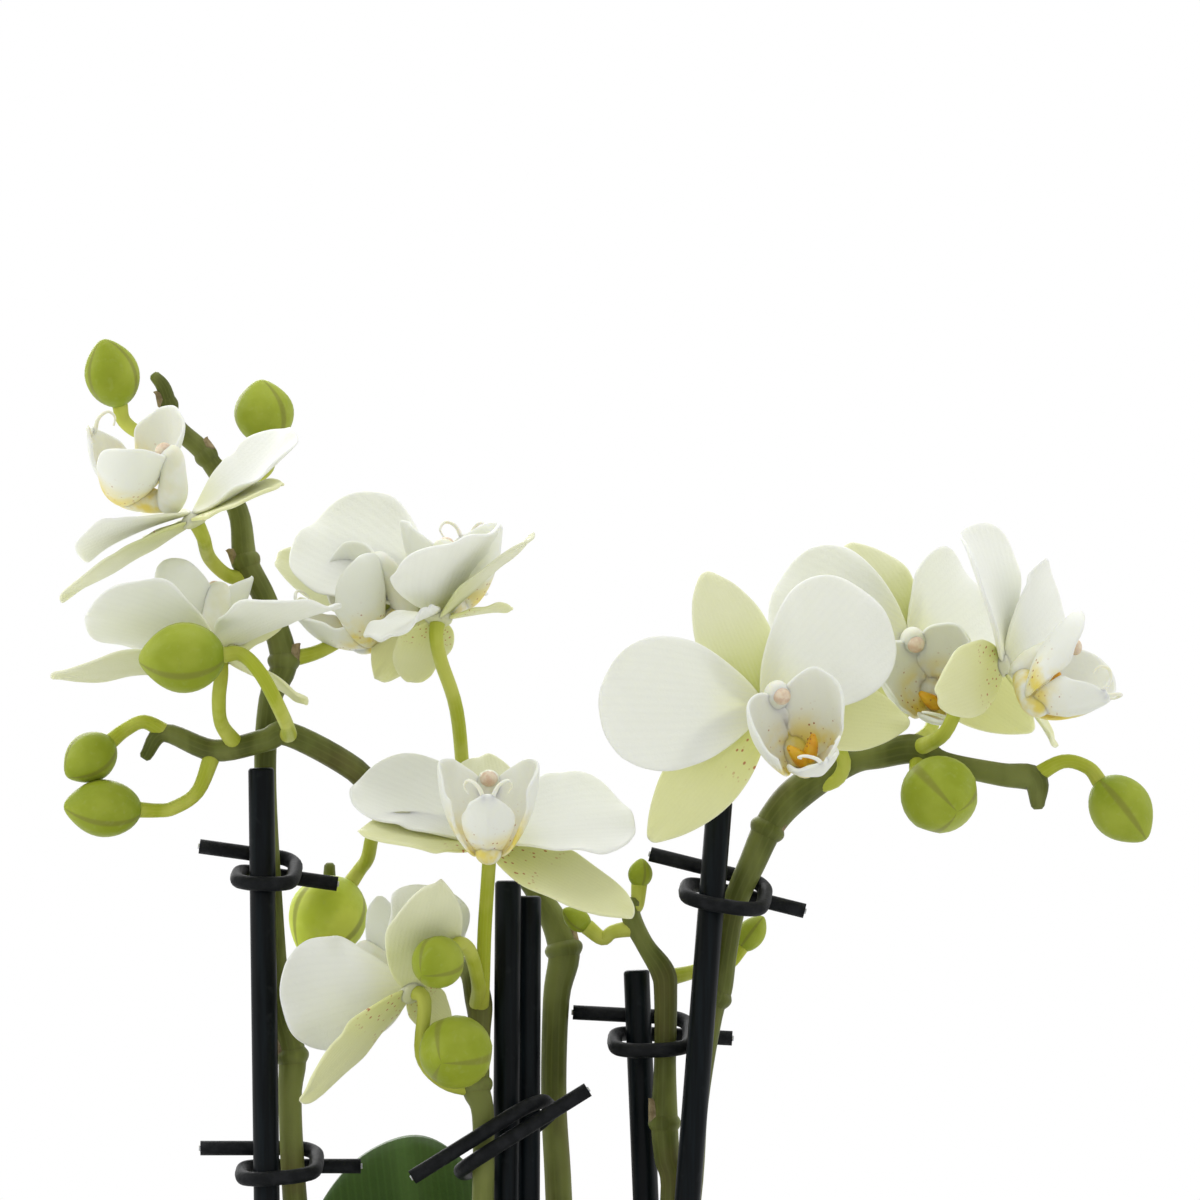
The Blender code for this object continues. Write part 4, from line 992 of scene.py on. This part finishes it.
def leaf_finish():
    material, tree = finish(
        "leaf_green", Specular_IOR_Level=0.2, Coat_Weight=0.05, Coat_Roughness=0.3,
        Subsurface_Weight=0.08, Subsurface_Radius=(0.4, 1.0, 0.2), Subsurface_Scale=0.001,
    )
    along, across = along_and_across(tree)
    patches = cloudy(tree, 45.0)
    colour = tint(remap(patches, 0.35, 0.7), (0.022, 0.054, 0.006), (0.040, 0.080, 0.012))
    lines = striped(tree, 14.0, 0.05, 1.5)
    colour = stain(colour, lines, 0.6, 1.0, 0.25, (0.055, 0.12, 0.02))
    rib = combine(remap(across, 0.455, 0.495), remap(across, 0.545, 0.505))
    colour = tint(combine(rib, 0.35), colour, (0.07, 0.14, 0.025))
    colour = stain(colour, along, 0.22, 0.02, 0.5, (0.14, 0.19, 0.06))
    return dress(material, colour, cloudy(tree, 1300.0), 0.00006, remap(patches, 0.3, 0.7, 0.30, 0.42))


LEAF_GREEN = leaf_finish()
for number, (name, (foot, start, face, length, width, bend)) in enumerate(LEAVES.items()):
    leaf = sheet(
        length * MM, width * MM, narrow=0.55, sharp=0.08, lean=0, bend=bend, cup=-18, wave=0.8 * MM,
        crease=2.2 * MM, seed=600 + number, grid=26,
    )
    thicken(leaf, LEAF_THICKNESS)
    whole = bmesh.new()
    gather(whole, leaf, frame_along(Vector(foot) * MM, start, face))
    piece(name + "_blade", whole, [LEAF_GREEN], [name])


# ---------------------------------------------------------------- crown and roots
# The short stem that everything grows from, wrapped in old leaf bases, and its thick silvery roots:
# some lie on the bark and some go down into it.
CROWN_CENTRE = Vector((0.0, 17.0 * MM, 0.0))
CROWN_DEPTH = 20.0 * MM
BARK_DOME = 3.0 * MM
ROOT_RADIUS = 2.2 * MM
bark_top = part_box("bark_medium")[1].z - BARK_DOME
DEEP_ROOTS = (
    [(0, 0, 0), (-9, -4, -8), (-20, -10, -24), (-26, -16, -48)],
    [(0, 0, 0), (9, -2, -9), (20, -6, -28), (24, -14, -54)],
    [(0, 0, 0), (-2, 7, -12), (-8, 14, -34), (-10, 16, -60)],
)
LYING_ROOTS = (
    [(-4, 0, 5.0), (-13, 4, 6.5), (-27, 8, 4.2), (-39, 2, 3.4), (-47, -9, 3.0)],
    [(4, 2, 5.0), (13, 8, 6.5), (26, 11, 4.2), (38, 4, 3.4), (44, -10, 3.0)],
    [(0, -4, 5.0), (-7, -14, 6.6), (-16, -27, 6.0), (-27, -38, 4.0)],
    [(2, 4, 5.0), (4, 14, 6.2), (-4, 24, 4.2), (-16, 28, 3.4)],
)
crown_foot = CROWN_CENTRE + Vector((0, 0, bark_top + BARK_DOME - CROWN_DEPTH))
lying_level = CROWN_CENTRE + Vector((0, 0, bark_top - 0.6 * MM))


def root_finish():
    material, tree = finish("root_silver", Roughness=0.8, Specular_IOR_Level=0.2)
    patches = cloudy(tree, 150.0)
    colour = tint(remap(patches, 0.35, 0.65), (0.30, 0.36, 0.20), (0.50, 0.52, 0.42))
    streaks = cloudy(tree, 900.0)
    colour = stain(colour, streaks, 0.5, 0.7, 0.4, (0.20, 0.25, 0.11))
    return dress(material, colour, streaks, 0.0002)


ROOT_SILVER = root_finish()
CROWN_GREEN = flesh("crown_green", (0.09, 0.13, 0.03), (0.18, 0.17, 0.07), 160.0, 0.5, 0.0001)
bark_low, bark_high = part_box("bark_medium")
crown = bmesh.new()
for start, routes in ((crown_foot + Vector((0, 0, 6 * MM)), DEEP_ROOTS), (lying_level, LYING_ROOTS)):
    for route in routes:
        points = [start + Vector(p) * MM for p in route]
        thick = [ROOT_RADIUS * (1.0 if k < len(points) - 1 else 0.8) for k in range(len(points))]
        line = smooth_path([(*p, r) for p, r in zip(points, thick)], 6)
        gather(crown, tube(line, 14), Matrix())
for k in range(6):
    angle = math.radians(60 * k + (30 if k % 2 else 0))
    out = Vector((math.cos(angle), math.sin(angle), 0))
    sheath = sheet(
        26 * MM, 17 * MM, narrow=0.1, sharp=0.35, lean=0, bend=-12, cup=110, wave=0.3 * MM, crease=0,
        seed=700 + k, grid=12,
    )
    thicken(sheath, 1.2 * MM)
    foot = CROWN_CENTRE + out * (4.2 + 0.35 * k) * MM + Vector((0, 0, (98 + 0.8 * k) * MM))
    gather(crown, sheath, frame_along(foot, Vector((0, 0, 1)) + out * 0.05, -out), 1)
stub = [
    (*(CROWN_CENTRE + Vector((0, 0, z * MM))), r * MM)
    for z, r in ((84, 6.4), (95, 6.8), (106, 6.6), (114, 5.6), (120, 3.6))
]
gather(crown, tube(smooth_path(stub, 4), 20), Matrix(), 1)
piece("crown_and_roots", crown, [ROOT_SILVER, CROWN_GREEN], ["crown_with_roots"], 0)


# ---------------------------------------------------------------- bark
# The plant grows in loose chips of pine bark in four browns, heaped level just under the rim of the
# pot. The bed below the top chips is one dark mass.
BARK_CHIPS = 620
CHIP_SIZES = ((6.5, 13), (4.5, 9), (2.2, 4.2))  # length, width and thickness in millimetres
CLEAR_OF_CROWN = 11 * MM
CLEAR_OF_STAKE = 6 * MM


def bark_finish(name, dark, middle, pale):
    material, tree = finish(name, Roughness=0.85, Specular_IOR_Level=0.15)
    layers = cloudy(tree, 420.0, 4.0, (0.25, 1, 3.0))
    colour = tint(remap(layers, 0.35, 0.65), dark, middle)
    patches = cloudy(tree, 130.0, 4.0)
    colour = stain(colour, patches, 0.48, 0.70, 0.7, pale)
    cracks = cloudy(tree, 900.0, 2.0, (0.3, 1, 1))
    colour = stain(colour, cracks, 0.60, 0.72, 0.6, (0.020, 0.012, 0.008))
    return dress(material, colour, cloudy(tree, 900.0, 5.0), 0.0005)


BARK_FINISHES = [
    bark_finish("bark_brown", (0.055, 0.026, 0.014), (0.130, 0.066, 0.036), (0.22, 0.13, 0.075)),
    bark_finish("bark_red", (0.090, 0.036, 0.018), (0.190, 0.085, 0.045), (0.30, 0.17, 0.10)),
    bark_finish("bark_grey", (0.040, 0.026, 0.018), (0.095, 0.066, 0.046), (0.20, 0.15, 0.11)),
    bark_finish("bark_tan", (0.140, 0.075, 0.038), (0.270, 0.160, 0.090), (0.38, 0.26, 0.17)),
]
chance = random.Random(77)
bed = bmesh.new()
bed_top, bed_foot = bark_high.z - 6 * MM, bark_low.z
bed_radius = (bark_high.x - bark_low.x) / 2 - 1.0 * MM
foot_radius = bed_radius - 11 * MM
bed_shape = bmesh.new()
bmesh.ops.create_cone(
    bed_shape, segments=72, radius1=foot_radius, radius2=bed_radius, depth=bed_top - bed_foot,
    cap_ends=True,
)
gather(bed, bed_shape, Matrix.Translation((0, 0, (bed_top + bed_foot) / 2)))
for number in range(BARK_CHIPS):
    away = bed_radius * math.sqrt(chance.uniform(0, 0.90))
    angle = chance.uniform(0, 2 * math.pi)
    height = bed_top + chance.uniform(0, 3.2) * MM
    spot = Vector((away * math.cos(angle), away * math.sin(angle), height))
    size = [chance.uniform(*limits) * MM for limits in CHIP_SIZES]
    turn = Matrix.Rotation(chance.uniform(0, 6.3), 4, "Z")
    turn = turn @ Matrix.Rotation(chance.gauss(0, 0.32), 4, "X")
    turn = turn @ Matrix.Rotation(chance.gauss(0, 0.25), 4, "Y")
    chip = bmesh.new()
    bmesh.ops.create_cube(chip, size=1.0)
    bmesh.ops.bevel(
        chip, geom=chip.edges[:], offset=0.12, segments=1, profile=0.5, affect="EDGES", material=-1
    )
    for vertex in chip.verts:
        vertex.co += Vector([chance.uniform(-0.09, 0.09) for _ in range(3)])
    bmesh.ops.scale(chip, verts=chip.verts, vec=size)
    over_crown = (spot - CROWN_CENTRE).to_2d().length < CLEAR_OF_CROWN
    near_rod = any((on_stake(stake, spot.z) - spot).length < CLEAR_OF_STAKE for stake in STAKES)
    if over_crown or near_rod:
        chip.free()
        continue
    gather(bed, chip, Matrix.Translation(spot) @ turn, number % len(BARK_FINISHES))
for face in bed.faces:
    face.smooth = False
piece("bark_chips", bed, BARK_FINISHES, ["bark_medium"], 0)


# ---------------------------------------------------------------- pot
# A thick round cover pot with a rolled lip, cast in pale clay and dipped in a glossy off-white
# glaze.
POT_TOP_RADIUS = 60.0 * MM
POT_BASE_RADIUS = 45.0 * MM
POT_HEIGHT = 112.0 * MM
POT_WALL = 4.0 * MM
POT_FLOOR = 6.0 * MM
POT_LIP = 2.5 * MM  # how far the rolled lip stands out
POT_LIP_HEIGHT = 9.0 * MM
POT_EDGE = 1.2 * MM


def wall_radius(height):
    """The pot's outer radius at a height, under its lip."""
    return POT_BASE_RADIUS + (POT_TOP_RADIUS - POT_LIP - POT_BASE_RADIUS) * height / POT_HEIGHT


pot_profile = [
    (0.0, POT_FLOOR),
    (wall_radius(POT_FLOOR) - POT_WALL, POT_FLOOR),
    (wall_radius(POT_HEIGHT) - POT_WALL, POT_HEIGHT - POT_EDGE),
    (wall_radius(POT_HEIGHT) - POT_WALL + POT_EDGE, POT_HEIGHT),
    (POT_TOP_RADIUS - POT_EDGE, POT_HEIGHT),
    (POT_TOP_RADIUS, POT_HEIGHT - POT_EDGE),
    (POT_TOP_RADIUS, POT_HEIGHT - POT_LIP_HEIGHT),
    (wall_radius(POT_HEIGHT - POT_LIP_HEIGHT - POT_LIP), POT_HEIGHT - POT_LIP_HEIGHT - POT_LIP),
    (wall_radius(2 * MM), 2 * MM),
    (POT_BASE_RADIUS - 1.5 * MM, 0.0),
    (0.0, 0.0),
]


def glaze_finish():
    material, tree = finish(
        "pot_glaze", Specular_IOR_Level=0.5, Coat_Weight=0.5, Coat_Roughness=0.06,
    )
    patches = cloudy(tree, 22.0)
    colour = tint(remap(patches, 0.3, 0.7), (0.66, 0.65, 0.61), (0.72, 0.71, 0.67))
    pinholes = spotted(tree, 330.0, 0.10)
    colour = tint(combine(pinholes, 0.5), colour, (0.45, 0.42, 0.36))
    return dress(material, colour, cloudy(tree, 60.0), 0.0003, remap(patches, 0.3, 0.7, 0.10, 0.20))


POT_GLAZE = glaze_finish()
wall = bmesh.new()
corners = [wall.verts.new((x, 0.0, z)) for x, z in pot_profile]
edges = [wall.edges.new(pair) for pair in zip(corners, corners[1:])]
bmesh.ops.spin(
    wall, geom=corners + edges, angle=2 * math.pi, steps=128, axis=(0, 0, 1), cent=(0, 0, 0),
    use_merge=True, use_duplicate=False,
)
bmesh.ops.remove_doubles(wall, verts=wall.verts, dist=0.00001)
bmesh.ops.recalc_face_normals(wall, faces=wall.faces)
whole = bmesh.new()
gather(whole, wall, Matrix())
pot = piece("glazed_pot", whole, [POT_GLAZE], ["pot"], 0)
edge_softening = pot.modifiers.new("soft_edges", "BEVEL")
edge_softening.width = 0.5 * MM
edge_softening.segments = 3
edge_softening.limit_method = "ANGLE"
